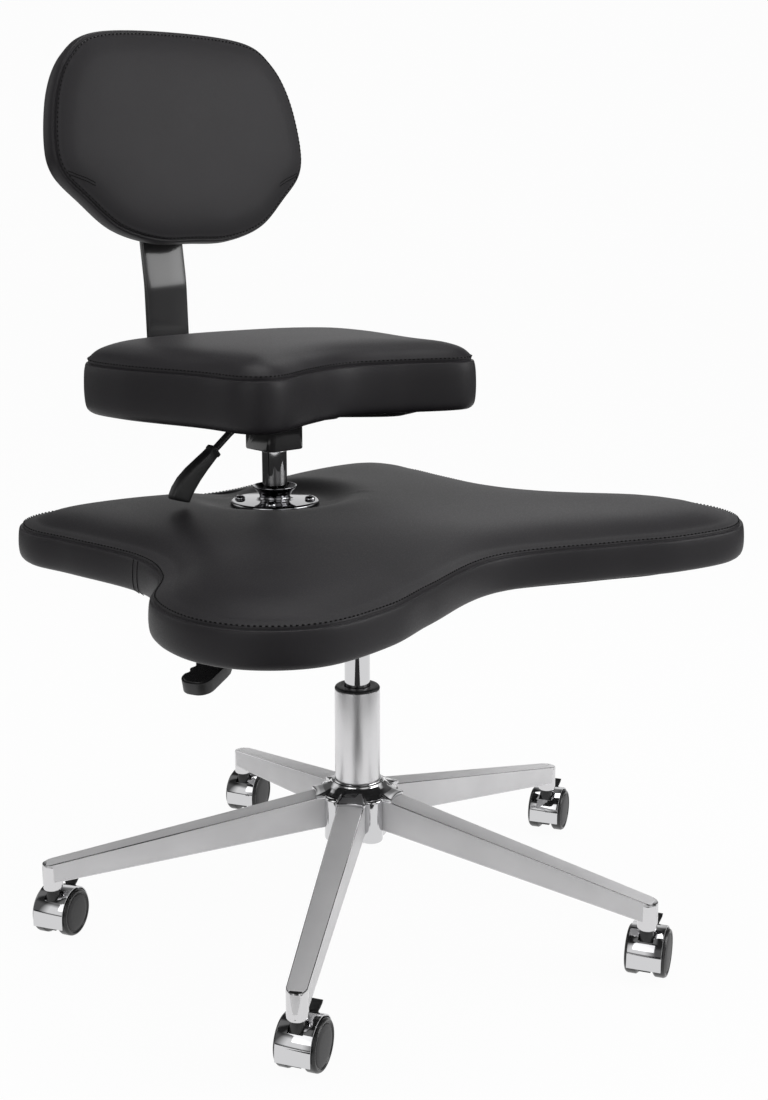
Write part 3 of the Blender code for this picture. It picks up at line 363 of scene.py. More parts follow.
class Finish:
    # one material with its Principled shader and the coordinates its patterns read
    def __init__(self, name, colour, roughness, metallic=0.0, uvPlace=False, **sockets):
        self.material = bpy.data.materials.new(name)
        self.material.use_nodes = True
        self.tree = self.material.node_tree
        self.shader = self.tree.nodes["Principled BSDF"]
        sockets = {"Base_Color": (*colour, 1), "Roughness": roughness, "Metallic": metallic, **sockets}
        for label, value in sockets.items():
            self.shader.inputs[label.replace("_", " ")].default_value = value
        self.reads = "UV" if uvPlace else "Object"

    def group(self, tree, **values):
        node = newNode(self.tree, "Group")
        node.node_tree = tree
        self.tree.links.new(newNode(self.tree, "TexCoord").outputs[self.reads], node.inputs["Place"])
        for label, value in values.items():
            node.inputs[label].default_value = value
        return node.outputs

    def spread(self, source, low, high, socket):
        # the middle half of a 0 to 1 value, spread over a range of a socket
        ends = {"From_Min": 0.25, "From_Max": 0.75, "To_Min": low, "To_Max": high}
        node = newNode(self.tree, "MapRange", Value=source, **ends)
        self.tree.links.new(node.outputs["Result"], self.shader.inputs[socket])

    def tint(self, source, dark, light):
        ramp = newNode(self.tree, "ValToRGB", Fac=source)
        for stop, at, colour in zip(ramp.color_ramp.elements, (0.3, 0.7), (dark, light)):
            stop.position = at
            stop.color = (*colour, 1)
        self.tree.links.new(ramp.outputs["Color"], self.shader.inputs["Base Color"])

    def bump(self, source, strength, depth):
        node = newNode(self.tree, "Bump", Height=source, Strength=strength, Distance=depth)
        self.tree.links.new(node.outputs["Normal"], self.shader.inputs["Normal"])


def makeFinish(name, colour, roughness, pattern, scales, relief, tones=None, worn=None, **more):
    # patterns give a tone to the colour, a spread to the roughness and a fine relief
    group, toneFrom, heightFrom = pattern
    finish = Finish(name, colour, roughness, **more)
    marks = finish.group(group, **scales)
    if tones:
        finish.tint(marks[toneFrom], *tones)
    if worn:
        finish.spread(marks[heightFrom], *worn, "Roughness")
    finish.bump(marks["Ripple" if heightFrom == "Haze" else heightFrom], *relief)
    return finish.material


grain = (grainGroup, "Tone", "Height")
streaks = (streakGroup, "Patches", "Lines")
smudges = (smudgeGroup, None, "Haze")


def makeSatin(name, colour, metallic, worn, along, across, relief, uvPlace=False):
    tones = [[c * share for c in colour] for share in (0.95, 1.05)]
    scales = {"Along": along, "Across": across}
    relief = (relief, 0.00006)
    return makeFinish(name, colour, 0.4, streaks, scales, relief, tones, worn, metallic=metallic, uvPlace=uvPlace)


def makePolished(name, colour, roughness):
    worn = (roughness * 0.7, roughness * 1.9)
    return makeFinish(name, colour, roughness, smudges, {"Size": 30.0}, (0.03, 0.00004), None, worn, metallic=1.0)


def makePlastic(name, colour, low, high, cells):
    tones = [[c * share for c in colour] for share in (0.8, 1.25)]
    scales = {"Cells": cells, "Wander": 22.0}
    return makeFinish(name, colour, (low + high) / 2, grain, scales, (0.15, 0.00008), tones, (low, high))


leatherette = makeFinish(
    "blackLeatherette", (0.0150, 0.0138, 0.0156), 0.42, grain, {"Cells": 620.0, "Wander": 7.0}, (0.22, 0.00012),
    ((0.0138, 0.0127, 0.0145), (0.0166, 0.0153, 0.0174)), (0.38, 0.50), IOR=1.45, Specular_IOR_Level=0.29,
)
thread = makeFinish(
    "blackThread", (0.003, 0.003, 0.003), 0.62, streaks, {"Along": 300.0, "Across": 1500.0}, (0.4, 0.0001),
    worn=(0.5, 0.75), Specular_IOR_Level=0.1,
)
lining = makeFinish(
    "liningCloth", (0.014, 0.014, 0.014), 0.9, grain, {"Cells": 950.0, "Wander": 30.0}, (0.5, 0.0002),
    ((0.009, 0.009, 0.009), (0.019, 0.019, 0.020)),
)
satinLegs = makeSatin("satinLegs", (0.67, 0.665, 0.675), 0.30, (0.44, 0.58), 9.0, 1100.0, 0.06, True)
satinTube = makeSatin("satinTube", (0.74, 0.735, 0.745), 0.85, (0.27, 0.30), 1500.0, 1500.0, 0.01)
polishedEdge = makePolished("polishedEdge", (0.66, 0.655, 0.665), 0.16)
chrome = makePolished("chromePlate", (0.63, 0.63, 0.64), 0.06)
# chrome with a darker colour: painted dark reflection of the black pads round the flange
paintedDarkReflectionChrome = makePolished("paintedDarkReflectionChrome", (0.32, 0.32, 0.33), 0.07)
machinedSteel = makePolished("machinedSteel", (0.42, 0.42, 0.43), 0.25)
blackSteel = makeFinish(
    "blackPaintedSteel", (0.032, 0.0315, 0.0325), 0.2, smudges, {"Size": 18.0}, (0.10, 0.00008),
    worn=(0.16, 0.26), Specular_IOR_Level=0.15, Coat_Weight=0.8, Coat_Roughness=0.09,
)
blackPlastic = makePlastic("blackNylon", (0.012, 0.012, 0.0125), 0.32, 0.46, 1400.0)
glossPlastic = makePlastic("wheelRim", (0.009, 0.009, 0.0095), 0.18, 0.30, 900.0)
greyPlastic = makePlastic("wheelDisc", (0.0105, 0.0102, 0.0112), 0.40, 0.52, 1600.0)
print("finishes made")


# padded pieces

def closedCurve(half, count):
    # a smooth closed outline through half an outline and its mirror, evenly spaced
    points = [Vector(p) for p in half] + [Vector((-x, y)) for x, y in reversed(half[1:-1])]
    dense = []
    for i in range(len(points)):
        dense += splined([points[(i + k) % len(points)] for k in (-1, 0, 1, 2)], 40)
    return evenly(dense, count, True)


def evenly(points, count, closed):
    # the same line with evenly spaced points
    line = points + points[:1] if closed else points
    lengths = lengthsAlong(line)
    spaced = []
    index = 0
    for i in range(count):
        wanted = lengths[-1] * i / (count if closed else count - 1)
        while index < len(line) - 2 and lengths[index + 1] < wanted:
            index += 1
        span = lengths[index + 1] - lengths[index]
        spaced.append(line[index].lerp(line[index + 1], (wanted - lengths[index]) / span))
    return spaced


def insetLoop(loop, distance):
    inner = []
    for i, p in enumerate(loop):
        along = (loop[(i + 1) % len(loop)] - loop[i - 1]).normalized()
        inner.append(p + Vector((-along.y, along.x)) * distance)
    return inner


def smoothStep(value):
    value = min(max(value, 0.0), 1.0)
    return value * value * (3 - 2 * value)


def padSide(spec, bottom):
    # the pad's section from its foot over the seam to the start of the crown, as (inset, height);
    # the seam is a groove between two soft rolls
    edge = spec["edge"]
    tuck = spec["tuck"]
    band = spec["band"]
    seam = bottom + band
    controls = [Vector(p) for p in (
        (edge * 1.2 + tuck, bottom), (edge * 0.25 + tuck * 0.9, bottom + edge * 0.35),
        (tuck * 0.67, bottom + band * 0.32), (tuck * 0.13, bottom + band * 0.62),
        (edge * 0.10, bottom + band * 0.86), (edge * 0.42, seam),
        *[(edge * out, seam + edge * up) for out, up in spec["shoulder"]],
    )]
    fine = []
    last = len(controls) - 1
    steps = 60
    for i in range(last):
        fine += splined([controls[max(i - 1, 0)], controls[i], controls[i + 1], controls[min(i + 2, last)]], steps)
    fine.append(controls[-1])
    lengths = lengthsAlong(fine)
    atSeam = lengths[5 * steps]  # the seam is the sixth control
    clear = 0.0085  # from the seam to the plain rows
    near = [-0.0062, -0.0042, -0.0028, -0.0017, -0.0008, 0.0, 0.0008, 0.0017, 0.0028, 0.0042, 0.0062]
    below = [-atSeam + (atSeam - clear) * i / spec["bandRows"] for i in range(spec["bandRows"] + 1)]
    ahead = lengths[-1] - atSeam
    above = [clear + (ahead - clear) * i / 3 for i in range(4)]
    section = []
    index = 0
    for s in below + near + above:
        while index < len(fine) - 2 and lengths[index + 1] < s + atSeam:
            index += 1
        share = (s + atSeam - lengths[index]) / (lengths[index + 1] - lengths[index])
        p = fine[index].lerp(fine[index + 1], min(max(share, 0.0), 1.0))
        along = (fine[index + 1] - fine[index]).normalized()
        outward = Vector((-along.y, along.x)) * (1 if along.y >= 0 or along.x > 0 else -1)
        groove = -spec["seamDepth"] * math.exp(-(s / spec["seamWide"]) ** 2)
        roll = spec["seamRoll"] * math.exp(-((abs(s) - spec["rollAt"]) / spec["rollWide"]) ** 2)
        section.append((p + outward * (groove + roll), s))
    return section


def padRings(spec, bottom):
    # every ring of a pad from its foot to the last ring before its middle, and the ring its stitches follow;
    # the platform's crown rises with the distance from the rim, so the inner corners leave no ridge
    loop = closedCurve(spec["half"], spec["around"])
    centre = Vector(spec["centre"])
    rings = []
    stitchRing = None
    for p, s in padSide(spec, bottom):
        ring = [Vector((q.x, q.y, p.y)) for q in insetLoop(loop, p.x)]
        rings.append(ring)
        if abs(s - spec["stitchAt"]) < 0.0004:
            stitchRing = ring
    rim = rings[-1]
    crown = bottom + spec["band"] + spec["crown"]
    hole = spec["bed"]
    dense = evenly(rim, 3000, True)
    near = kdtree.KDTree(len(dense))
    for i, p in enumerate(dense):
        near.insert((p.x, p.y, 0), i)
    near.balance()
    for share in spec["shares"]:
        ring = []
        for p in rim:
            ray = p.xy - centre
            radius = ray.length + (hole - ray.length) * share
            q = centre + ray.normalized() * radius
            rise = 1 - (1 - share) ** 4
            if spec["soften"]:
                away = near.find((q.x, q.y, 0))[2]
                full = 1 - (1 - min(away / spec["soften"], 1)) ** 4 * (1 - smoothStep(share * 2.5 - 1.5))
                rise = full + (rise - full) * spec["dome"]
            height = p.z + (crown - p.z) * rise
            dip = smoothStep(1 - (radius - hole) / (spec["dimple"] - hole)) if spec["dip"] else 0.0
            wander = spec["wander"] * rise * noise.noise(Vector((q.x * 9, q.y * 9, 3.7)))
            ring.append(Vector((q.x, q.y, height - spec["dip"] * dip + wander * (1 - dip))))
        rings.append(ring)
    return rings, stitchRing


def padBody(rings, hole=None):
    # closes the rings: flat underneath, and a crowned top or a hole for the post
    bm = bmesh.new()
    ring = firstRing(bm, rings[0])
    foot = ring
    for points in rings[1:]:
        ring = extrudeRing(bm, ring, points)
    if hole:
        centre, radius, floor = hole
        top = ring
        for inner, height in ((radius + 0.004, None), (radius, None), (radius, floor)):
            points = []
            for v in top:
                ray = (v.co.xy - centre).normalized() * inner
                points.append((centre.x + ray.x, centre.y + ray.y, v.co.z if height is None else height))
            ring = extrudeRing(bm, ring, points)
        edges = [bm.edges.get(pair) for r in (ring, foot) for pair in zip(r, r[1:] + r[:1])]
        bmesh.ops.bridge_loops(bm, edges=edges)
    else:
        bmesh.ops.contextual_create(bm, geom=foot)
        bmesh.ops.contextual_create(bm, geom=ring)
    return bm


def stitchRow(line, pitch, length, thick, lift, closed=True):
    # short thread beads along a line
    count = max(int(sum((b - a).length for a, b in zip(line, line[1:])) / pitch), 3)
    spots = evenly(line, count, closed)
    bm = bmesh.new()
    bmesh.ops.create_uvsphere(bm, u_segments=6, v_segments=4, radius=1)
    bead = bpy.data.meshes.new("bead")
    bm.to_mesh(bead)
    bm.clear()
    for i, p in enumerate(spots):
        ahead = spots[(i + 1) % count] if closed else spots[min(i + 1, count - 1)]
        behind = spots[i - 1] if closed else spots[max(i - 1, 0)]
        along = (ahead - behind).normalized()
        side = along.cross(lift).normalized()
        up = side.cross(along)
        axes = Matrix((along, side, up)).transposed().to_4x4()
        size = Matrix.Diagonal((length / 2, thick / 2, thick / 2, 1))
        place = Matrix.Translation(p + up * thick * 0.2) @ axes @ size
        bead.transform(place)
        bm.from_mesh(bead)
        bead.transform(place.inverted())
    bpy.data.meshes.remove(bead)
    return bm


def laidOn(bm, points):
    # points of (across, along) dropped on the top of a pad
    tree = bvhtree.BVHTree.FromBMesh(bm)
    return [tree.ray_cast(Vector((x, y, 1)), Vector((0, 0, -1)))[0] for x, y in points]


sewing = {
    "seamDepth": 0.0018, "seamWide": 0.0012, "seamRoll": 0.0006, "rollAt": 0.0030, "rollWide": 0.0018,
    "stitchAt": 0.0028,
}
smallPad = {
    "around": 200, "bandRows": 9, "bed": 0.0, "dimple": 1.0, "dip": 0.0, "wander": 0.0010,
    "shares": (0.07, 0.15, 0.24, 0.34, 0.44, 0.54, 0.64, 0.74, 0.84, 0.93), **sewing,
}

platformPad = {
    "half": [
        (0.0, -0.2135), (0.128, -0.2534), (0.2025, -0.281), (0.2861, -0.2884), (0.3431, -0.2516),
        (0.3645, -0.1887), (0.347, -0.1155), (0.2925, -0.0488), (0.265, 0.03), (0.2735, 0.14),
        (0.281, 0.2085), (0.2585, 0.2597), (0.2074, 0.2831), (0.12, 0.278), (0.0, 0.2508),
    ],
    "around": 260, "band": 0.038, "edge": 0.010, "tuck": 0.0, "crown": 0.017, "bandRows": 6,
    "soften": 0.085, "dome": 0.0, "shoulder": ((1.0, 0.28), (1.6, 0.43), (2.2, 0.54)),
    "centre": (0.0, 0.140), "bed": 0.055, "dimple": 0.105, "dip": 0.0135,
    "shares": (0.06, 0.13, 0.21, 0.3, 0.39, 0.48, 0.57, 0.65, 0.72, 0.78, 0.83, 0.87, 0.91, 0.94, 0.97, 1.0),
    "wander": 0.0012, "joinAt": (-0.2650, 0.030), **sewing,
}

seatPad = {
    "half": [
        (0.0, 0.010), (0.06, -0.006), (0.128, -0.035), (0.163, -0.014), (0.171, 0.05),
        (0.194, 0.155), (0.186, 0.235), (0.12, 0.287), (0.0, 0.300),
    ],
    "band": 0.056, "edge": 0.0106, "tuck": 0.0, "crown": 0.022, "soften": 0.055, "dome": 0.3,
    "shoulder": ((0.76, 0.55), (1.38, 1.06), (2.2, 1.40)), "centre": (0.0, 0.140), **smallPad,
}

backPad = {
    "half": [
        (0.0, -0.1235), (0.05, -0.1225), (0.102, -0.107), (0.141, -0.075), (0.170, -0.045),
        (0.1765, -0.010), (0.166, 0.048), (0.142, 0.089), (0.101, 0.1125), (0.0, 0.1185),
    ],
    "band": 0.057, "edge": 0.0125, "tuck": 0.024, "crown": 0.010, "soften": 0.0,
    "shoulder": ((1.0, 0.28), (1.6, 0.43), (2.2, 0.54)), "centre": (0.0, 0.0), **smallPad,
    "lies": (-0.0095, 0.341396, 0.855785), "lean": 8.0, "behind": 0.0086,
    "dart": [(0.160, -0.0455), (0.150, -0.0495), (0.140, -0.0530), (0.131, -0.0575)], "dartGap": 0.0032,
}
toBack = Matrix.Translation(backPad["lies"]) @ turn(90 - backPad["lean"], "X")
postHole = 0.0253  # through the platform, round the post's tube


def addPad(name, shape, body, node):
    pad = addPiece(name, shape, body, [leatherette], [node], 80)
    step = pad.modifiers.new("smooth", "SUBSURF")
    step.levels = 1
    step.render_levels = 1


def makePads():
    stitches = {"pitch": 0.0050, "length": 0.0030, "thick": 0.0014}
    seamLine = {"pitch": 0.0022, "length": 0.0032, "thick": 0.0009, "closed": False}
    up = Vector((0, 0, 1))

    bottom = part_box("platform_cushion")[0].z
    rings, stitchRing = padRings(platformPad, bottom)
    body = moved(padBody(rings, (Vector(platformPad["centre"]), postHole, bottom)), toColumn)
    addPad("platformPad", body, "platform", "platform_cushion")
    index = min(range(len(rings[4])), key=lambda i: (rings[4][i].xy - Vector(platformPad["joinAt"])).length)
    rows = [stitchRow(stitchRing, lift=up, **stitches)]
    for i in (index, index + 1):  # where the band's two ends are joined
        rows.append(stitchRow([ring[i] for ring in rings[1:9]], lift=Vector((-1, 0, 0)), **seamLine))
    addPiece("platformStitches", moved(merged(rows), toColumn), "platform", [thread])

    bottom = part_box("seat_cushion")[0].z
    rings, stitchRing = padRings(seatPad, bottom)
    addPad("seatPad", moved(padBody(rings), toColumn), "seat", "seat_cushion")
    row = stitchRow(stitchRing, lift=up, **stitches)
    addPiece("seatStitches", moved(row, toColumn), "seat", [thread])

    rings, stitchRing = padRings(backPad, backPad["behind"])
    body = padBody(rings)
    rows = [stitchRow(stitchRing, lift=up, **stitches)]
    for side in (-1, 1):
        for gap in (0.0, backPad["dartGap"]):
            line = laidOn(body, [(x * side, y + gap) for x, y in backPad["dart"]])
            rows.append(stitchRow(line, lift=up, **seamLine))
    addPad("backPad", moved(body, toBack), "seat", "backrest_cushion")
    addPiece("backStitches", moved(merged(rows), toBack), "seat", [thread])


makePads()
print("pads made")


# base

starBase = {
    "count": 5, "first": 2.9, "reach": 0.338, "legRoot": 0.030, "legTip": 0.021, "rootDeep": 0.036, "tipDeep": 0.022,
    "rise": 0.0605, "legFrom": 0.030, "edge": 0.0010, "nose": 0.0107, "crease": 0.0026, "hub": 0.044,
    "hubTall": 0.049, "bore": 0.0253, "wall": 0.033, "cap": 0.047, "rib": 0.0130, "ribOut": 0.0330,
    "neck": 0.0145,
}


def makeNose(spec, top, low):
    # the caster socket at a leg's end, with a creased scoop down its outer face
    radius = spec["nose"]
    rows = 22
    shoulder = top - 0.002
    profile = [(0, top), (radius - 0.0022, top), (radius - 0.0006, top - 0.0006)]
    profile += [(radius, shoulder + (low - shoulder) * i / rows) for i in range(rows)]
    profile += [(radius - 0.0006, low), (0.0058, low), (0.0058, low + 0.004), (0, low + 0.004)]
    nose = turned(profile, 96)
    for v in nose.verts:
        if v.co.xy.length < radius * 0.92:
            continue
        share = (v.co.z - low) / (top - low)
        angle = abs(math.degrees(math.atan2(v.co.y, v.co.x)))
        scoop = max(0.0, 1 - angle / (4 + 32 * share))
        scoop *= smoothStep(share * 1.7) * smoothStep((0.95 - share) / 0.07)
        lip = 0.3 * math.exp(-((share - 0.10) / 0.08) ** 2 - (angle / 30) ** 2)
        v.co.xy *= 1 - (scoop + lip) * spec["crease"] / radius
    return nose


def makeLeg(spec, tipTop, noseLow):
    # one leg along +X with its caster socket
    hub = spec["hub"]
    reach = spec["reach"]

    def line(x, root, tip):
        return root + (tip - root) * (x - hub) / (reach - hub)

    rootTop = tipTop + spec["rise"]
    outline = [(spec["legFrom"], -spec["legRoot"] / 2)]
    outline += arcPoints((reach, 0), spec["legTip"] / 2, -90, 90, 16)
    outline += [(spec["legFrom"], spec["legRoot"] / 2)]
    low = [(p[0], p[1], line(p[0], rootTop - spec["rootDeep"], tipTop - spec["tipDeep"])) for p in outline]
    high = [(p[0], p[1], line(p[0], rootTop, tipTop)) for p in outline]
    leg = skinned([low, high])
    made = rounded(leg, spec["edge"], 2, 30)
    for face in made["faces"]:
        face.material_index = 1
    nose = makeNose(spec, tipTop - 0.0012, noseLow)
    for face in nose.faces:
        face.material_index = 1
    return merged([leg, moved(nose, shift(reach, 0, 0))])


def makeHub(spec, top):
    # a dished cap with two thin rings that runs out over the legs, and a pillar in each gap between them
    bore = spec["bore"]
    cap = spec["cap"]
    wall = spec["wall"]
    low = top - spec["hubTall"]
    between = 360 / spec["count"]
    profile = soften([
        (bore, top + spec["neck"]), (bore + 0.0014, top + spec["neck"]), (bore + 0.0020, top + 0.0130),
        (bore + 0.0034, top + 0.0126), (bore + 0.0040, top + 0.0108), (bore + 0.0075, top + 0.0072),
        (bore + 0.0125, top + 0.0040), (bore + 0.0175, top + 0.0020), (cap - 0.0012, top + 0.0012),
        (cap, top + 0.0006), (cap - 0.0004, top - 0.0030), (wall, top - 0.0050), (wall, low), (bore, low),
    ], 0.0008)
    hub = turned(profile, 150)
    for v in hub.verts:
        radius = v.co.xy.length
        if radius < wall + 0.001:
            continue
        angle = math.degrees(math.atan2(v.co.y, v.co.x)) - spec["first"]
        angle = abs((angle + between / 2) % between - between / 2)  # from the nearest leg
        reach = cap - wall + 0.005 * min(angle / 17, 1) ** 2 - 0.010 * smoothStep((angle - 18) / 5)
        v.co.xy *= (wall + (radius - wall) * reach / (cap - wall)) / radius
    pillars = []
    for k in range(spec["count"]):
        profile = [(0, top + 0.001), (spec["rib"], top + 0.001), (spec["rib"], low), (0, low)]
        rib = turned(soften(profile, 0.0035, 4), 48)
        spot = polar(spec["ribOut"], spec["first"] + between / 2 + between * k)
        pillars.append(moved(rib, shift(spot.x, spot.y, 0)))
    return merged([hub] + pillars)


def makeStar():
    spec = starBase
    low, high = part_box("base_star")
    hubTop = high.z - spec["neck"]
    legs = []
    for k in range(spec["count"]):
        leg = makeLeg(spec, hubTop - 0.002 - spec["rise"], low.z)
        brushed = leg.loops.layers.uv.new("brushing")
        for face in leg.faces:
            for corner in face.loops:
                place = corner.vert.co
                corner[brushed].uv = (place.x + k * 0.7, place.y * 0.7 + place.z)
        legs.append(moved(leg, turn(spec["first"] + 360 / spec["count"] * k, "Z")))
    legs = moved(merged(legs), toColumn)
    addPiece("starLegs", legs, "base", [satinLegs, polishedEdge], ["base_star"], 30)
    addPiece("starHub", moved(makeHub(spec, hubTop), toColumn), "base", [chrome])


makeStar()
print("base made")


# column and post

column = {
    "tube": 0.025, "tubeBore": 0.0224, "bushWall": 0.0221, "bushBore": 0.0144, "lip": 0.003,
    "piston": 0.014, "neck": 0.0128, "neckTall": 0.020, "pistonBore": 0.0054,
}


def makeTube(at, node, name, body, finish):
    low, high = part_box(node)
    radius = column["tube"]
    bore = column["tubeBore"]
    tube = turned(soften([(bore, high.z), (radius, high.z), (radius, low.z), (bore, low.z)], 0.0008), 72)
    addPiece(name, moved(tube, at), body, [finish], [node])


def makeBush():
    low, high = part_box("column_bush")
    lip = high.z - column["lip"]
    radius = column["tube"]
    wall = column["bushWall"]
    bore = column["bushBore"]
    bush = turned(soften([
        (bore, high.z), (radius - 0.0045, high.z), (radius - 0.0014, high.z - 0.0002), (radius, lip + 0.0008),
        (radius, lip), (wall, lip), (wall, low.z), (bore, low.z),
    ], 0.0007), 72)
    addPiece("columnBush", moved(bush, toColumn), "base", [blackPlastic], ["column_bush"])


def makePiston(at, node, name, body):
    low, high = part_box(node)
    neck = high.z - column["neckTall"]
    bore = column["pistonBore"]
    radius = column["piston"]
    rod = turned(soften([
        (bore, high.z), (column["neck"], high.z), (column["neck"], neck), (radius, neck - 0.002), (radius, low.z),
        (bore, low.z),
    ], 0.0008), 72)
    addPiece(name, moved(rod, at), body, [chrome], [node])


makeTube(toColumn, "column_tube", "columnTube", "base", satinTube)
makeBush()
makePiston(toColumn, "gas_cylinder", "columnPiston", "platform")
makePiston(toPost, "post_cylinder", "seatPiston", "seat")
makeTube(toPost, "post_tube", "postTube", "platform", blackSteel)
print("column and post made")


flange = {
    "radius": 0.0505, "thick": 0.0045, "neck": 0.0172, "rim": 0.0252, "bore": 0.0144,
    "boltCircle": 0.040, "boltHead": 0.0060, "boltTall": 0.004,
}


def makeFlange():
    # a plate with a trumpet collar round the piston
    low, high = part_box("post_flange")
    top = high.z
    plate = low.z + flange["thick"]
    neck = flange["neck"]
    rim = flange["rim"]
    radius = flange["radius"]
    profile = [
        (flange["bore"], top - 0.0078), (neck, top - 0.0070), (rim - 0.0046, top - 0.0036),
        (rim - 0.0014, top - 0.0003), (rim - 0.0005, top), (rim, top - 0.0007), (rim - 0.0003, top - 0.0018),
        (rim - 0.0030, top - 0.0042), (neck + 0.0020, top - 0.0076), (neck + 0.0003, top - 0.0112),
        (neck, plate + 0.0036), (neck + 0.0014, plate + 0.0012), (neck + 0.0046, plate), (radius - 0.002, plate),
        (radius, plate - 0.0016), (radius, low.z), (flange["bore"], low.z),
    ]
    body = moved(turned(soften(profile, 0.0010), 96), toPost)
    # the flange and its bolts take chrome whose darker colour is a painted dark reflection
    addPiece("postFlange", body, "platform", [paintedDarkReflectionChrome], ["post_flange"])

    # button heads with a six-sided recess
    low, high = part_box("flange_bolt_1")
    top = high.z
    seat = top - flange["boltTall"]
    head = flange["boltHead"]
    bolt = turned(soften([
        (0, top), (head * 0.55, top), (head * 0.86, top - 0.0012), (head, seat + 0.0008), (head, seat),
        (0.003, seat), (0.003, low.z), (0, low.z),
    ], 0.0006), 32)
    socket = slab([polar(0.0024, 30 + 60 * i) for i in range(6)], top - 0.0022, top + 0.002)
    shape = meshFrom(carved(bolt, [socket]), "flangeBolt")
    for k in range(4):
        spot = polar(flange["boltCircle"], 45 + 90 * k)
        mesh = shape.copy()
        mesh.transform(toPost @ shift(spot.x, spot.y, 0))
        name = "flangeBolt_%d" % (k + 1)
        addPiece(name, mesh, "platform", [paintedDarkReflectionChrome], ["flange_bolt_%d" % (k + 1)])
    bpy.data.meshes.remove(shape)


makeFlange()
print("flange made")


platformMount = {
    "radius": 0.032, "cavity": 0.026, "socket": 0.0131, "socketTall": 0.022, "plate": 0.080, "plateThick": 0.004,
    "slot": (0.014, 0.0078, 0.0092), "slotAt": (0.030, 0, 0.391742), "slotTurn": 201.5,
}


def makeMount():
    spec = platformMount
    low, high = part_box("platform_mount")
    plateLow = high.z - spec["plateThick"]
    floor = low.z + spec["socketTall"]
    radius = spec["radius"]
    body = turned(soften([
        (spec["cavity"], high.z), (spec["plate"], high.z), (spec["plate"], plateLow), (radius + 0.004, plateLow),
        (radius, plateLow - 0.004), (radius, low.z + 0.003), (radius - 0.003, low.z), (spec["socket"], low.z),
        (spec["socket"], floor), (spec["cavity"], floor),
    ], 0.0010), 72)
    slot = block(turn(spec["slotTurn"], "Z") @ shift(*spec["slotAt"]), spec["slot"])  # for the lever
    body = moved(carved(body, [slot]), toColumn)
    addPiece("platformMount", body, "platform", [blackSteel], ["platform_mount"])


makeMount()
print("mount made")


# levers

platformLever = {
    "hinge": (-0.036482, -0.031629, 0.391742), "turn": 201.5, "droop": 3.0, "pivot": 0.029, "rod": 0.0035,
    "bend": 0.236, "lead": 0.005, "grip": 0.020, "bentDown": 14.0,
    "long": 0.062, "wide": 0.031, "neck": 0.018, "thick": 0.012, "plateDeep": 0.0007,
}


def makePlatformLever():
    spec = platformLever
    toHinge = Matrix.Translation(spec["hinge"]) @ turn(spec["turn"], "Z")
    fall = math.tan(math.radians(spec["droop"]))
    bend = Vector((spec["bend"], -spec["bend"] * fall))
    down = polar(1.0, -spec["bentDown"])
    inner = -spec["pivot"] - 0.003
    path = [Vector((inner, -inner * fall)), bend - bend.normalized() * 0.006]
    path += [bend + (down - Vector((1, -fall)).normalized()) * 0.0012, bend + down * 0.0045]
    path += [bend + down * (spec["lead"] + spec["grip"])]
    rod = moved(sweptAlong(path, circlePoints(spec["rod"], 24)), toHinge)
    addPiece("platformLeverRod", rod, "platform_lever", [blackSteel], ["platform_lever_rod"])

    # paddle: finger scallops along one edge, a shallow plate let into the top
    half = spec["wide"] / 2
    long = spec["long"]
    upper = [(0.0, spec["neck"] / 2), (0.006, spec["neck"] / 2 + 0.0012), (0.0186, half - 0.0006), (0.026, half)]
    upper += arcPoints((long - 0.0125, half - 0.0125), 0.0125, 90, 0, 8)
    lower = []
    for i in range(25):
        x = 0.016 + (long - 0.030) * i / 24
        lower.append((x, -half + 0.0013 * (1 - math.cos(math.tau * i / 8))))
    lower = [(0.0, -spec["neck"] / 2), (0.006, -spec["neck"] / 2 - 0.0012)] + lower
    lower += arcPoints((long - 0.0125, 0.0125 - half), 0.0125, -80, 0, 7)
    outline = [Vector(p) for p in lower] + [Vector(p) for p in reversed(upper)]
    thick = spec["thick"] / 2
    body = slab(outline, -thick, thick)
    rounded(body, 0.0030, 4, 60)
    top = max(body.faces, key=lambda f: f.calc_center_median().z * 10 + f.calc_area())
    bmesh.ops.inset_region(body, faces=[top], thickness=0.0016, depth=0.0)
    bmesh.ops.inset_region(body, faces=[top], thickness=0.0006, depth=-spec["plateDeep"])
    top.material_index = 1
    start = bend + down * spec["lead"]
    place = toHinge @ shift(start.x, 0, start.y) @ turn(spec["bentDown"], "Y")
    finishes = [blackPlastic, glossPlastic]
    body = moved(body, place)
    addPiece("platformPaddle", body, "platform_lever", finishes, ["platform_lever_paddle"], 30)


seatLever = {
    "hinge": (-0.0325, 0.119, 0.5485), "rod": 0.0040, "bend": 0.0318, "slope": 37.5, "run": 0.060, "inner": 0.026,
    "spine": [  # along, up, half width, half thickness
        (0.0600, -0.0216, 0.0062, 0.0062), (0.0606, -0.0220, 0.0075, 0.0074), (0.0632, -0.0240, 0.0076, 0.0075),
        (0.0640, -0.0246, 0.0066, 0.0069), (0.0700, -0.0294, 0.0070, 0.0073), (0.0800, -0.0372, 0.0083, 0.0075),
        (0.0900, -0.0455, 0.0100, 0.0075), (0.0990, -0.0545, 0.0115, 0.0074), (0.1055, -0.0630, 0.0121, 0.0072),
        (0.1085, -0.0690, 0.0122, 0.0070), (0.1093, -0.0712, 0.0118, 0.0066), (0.1096, -0.0722, 0.0105, 0.0054),
    ],
}


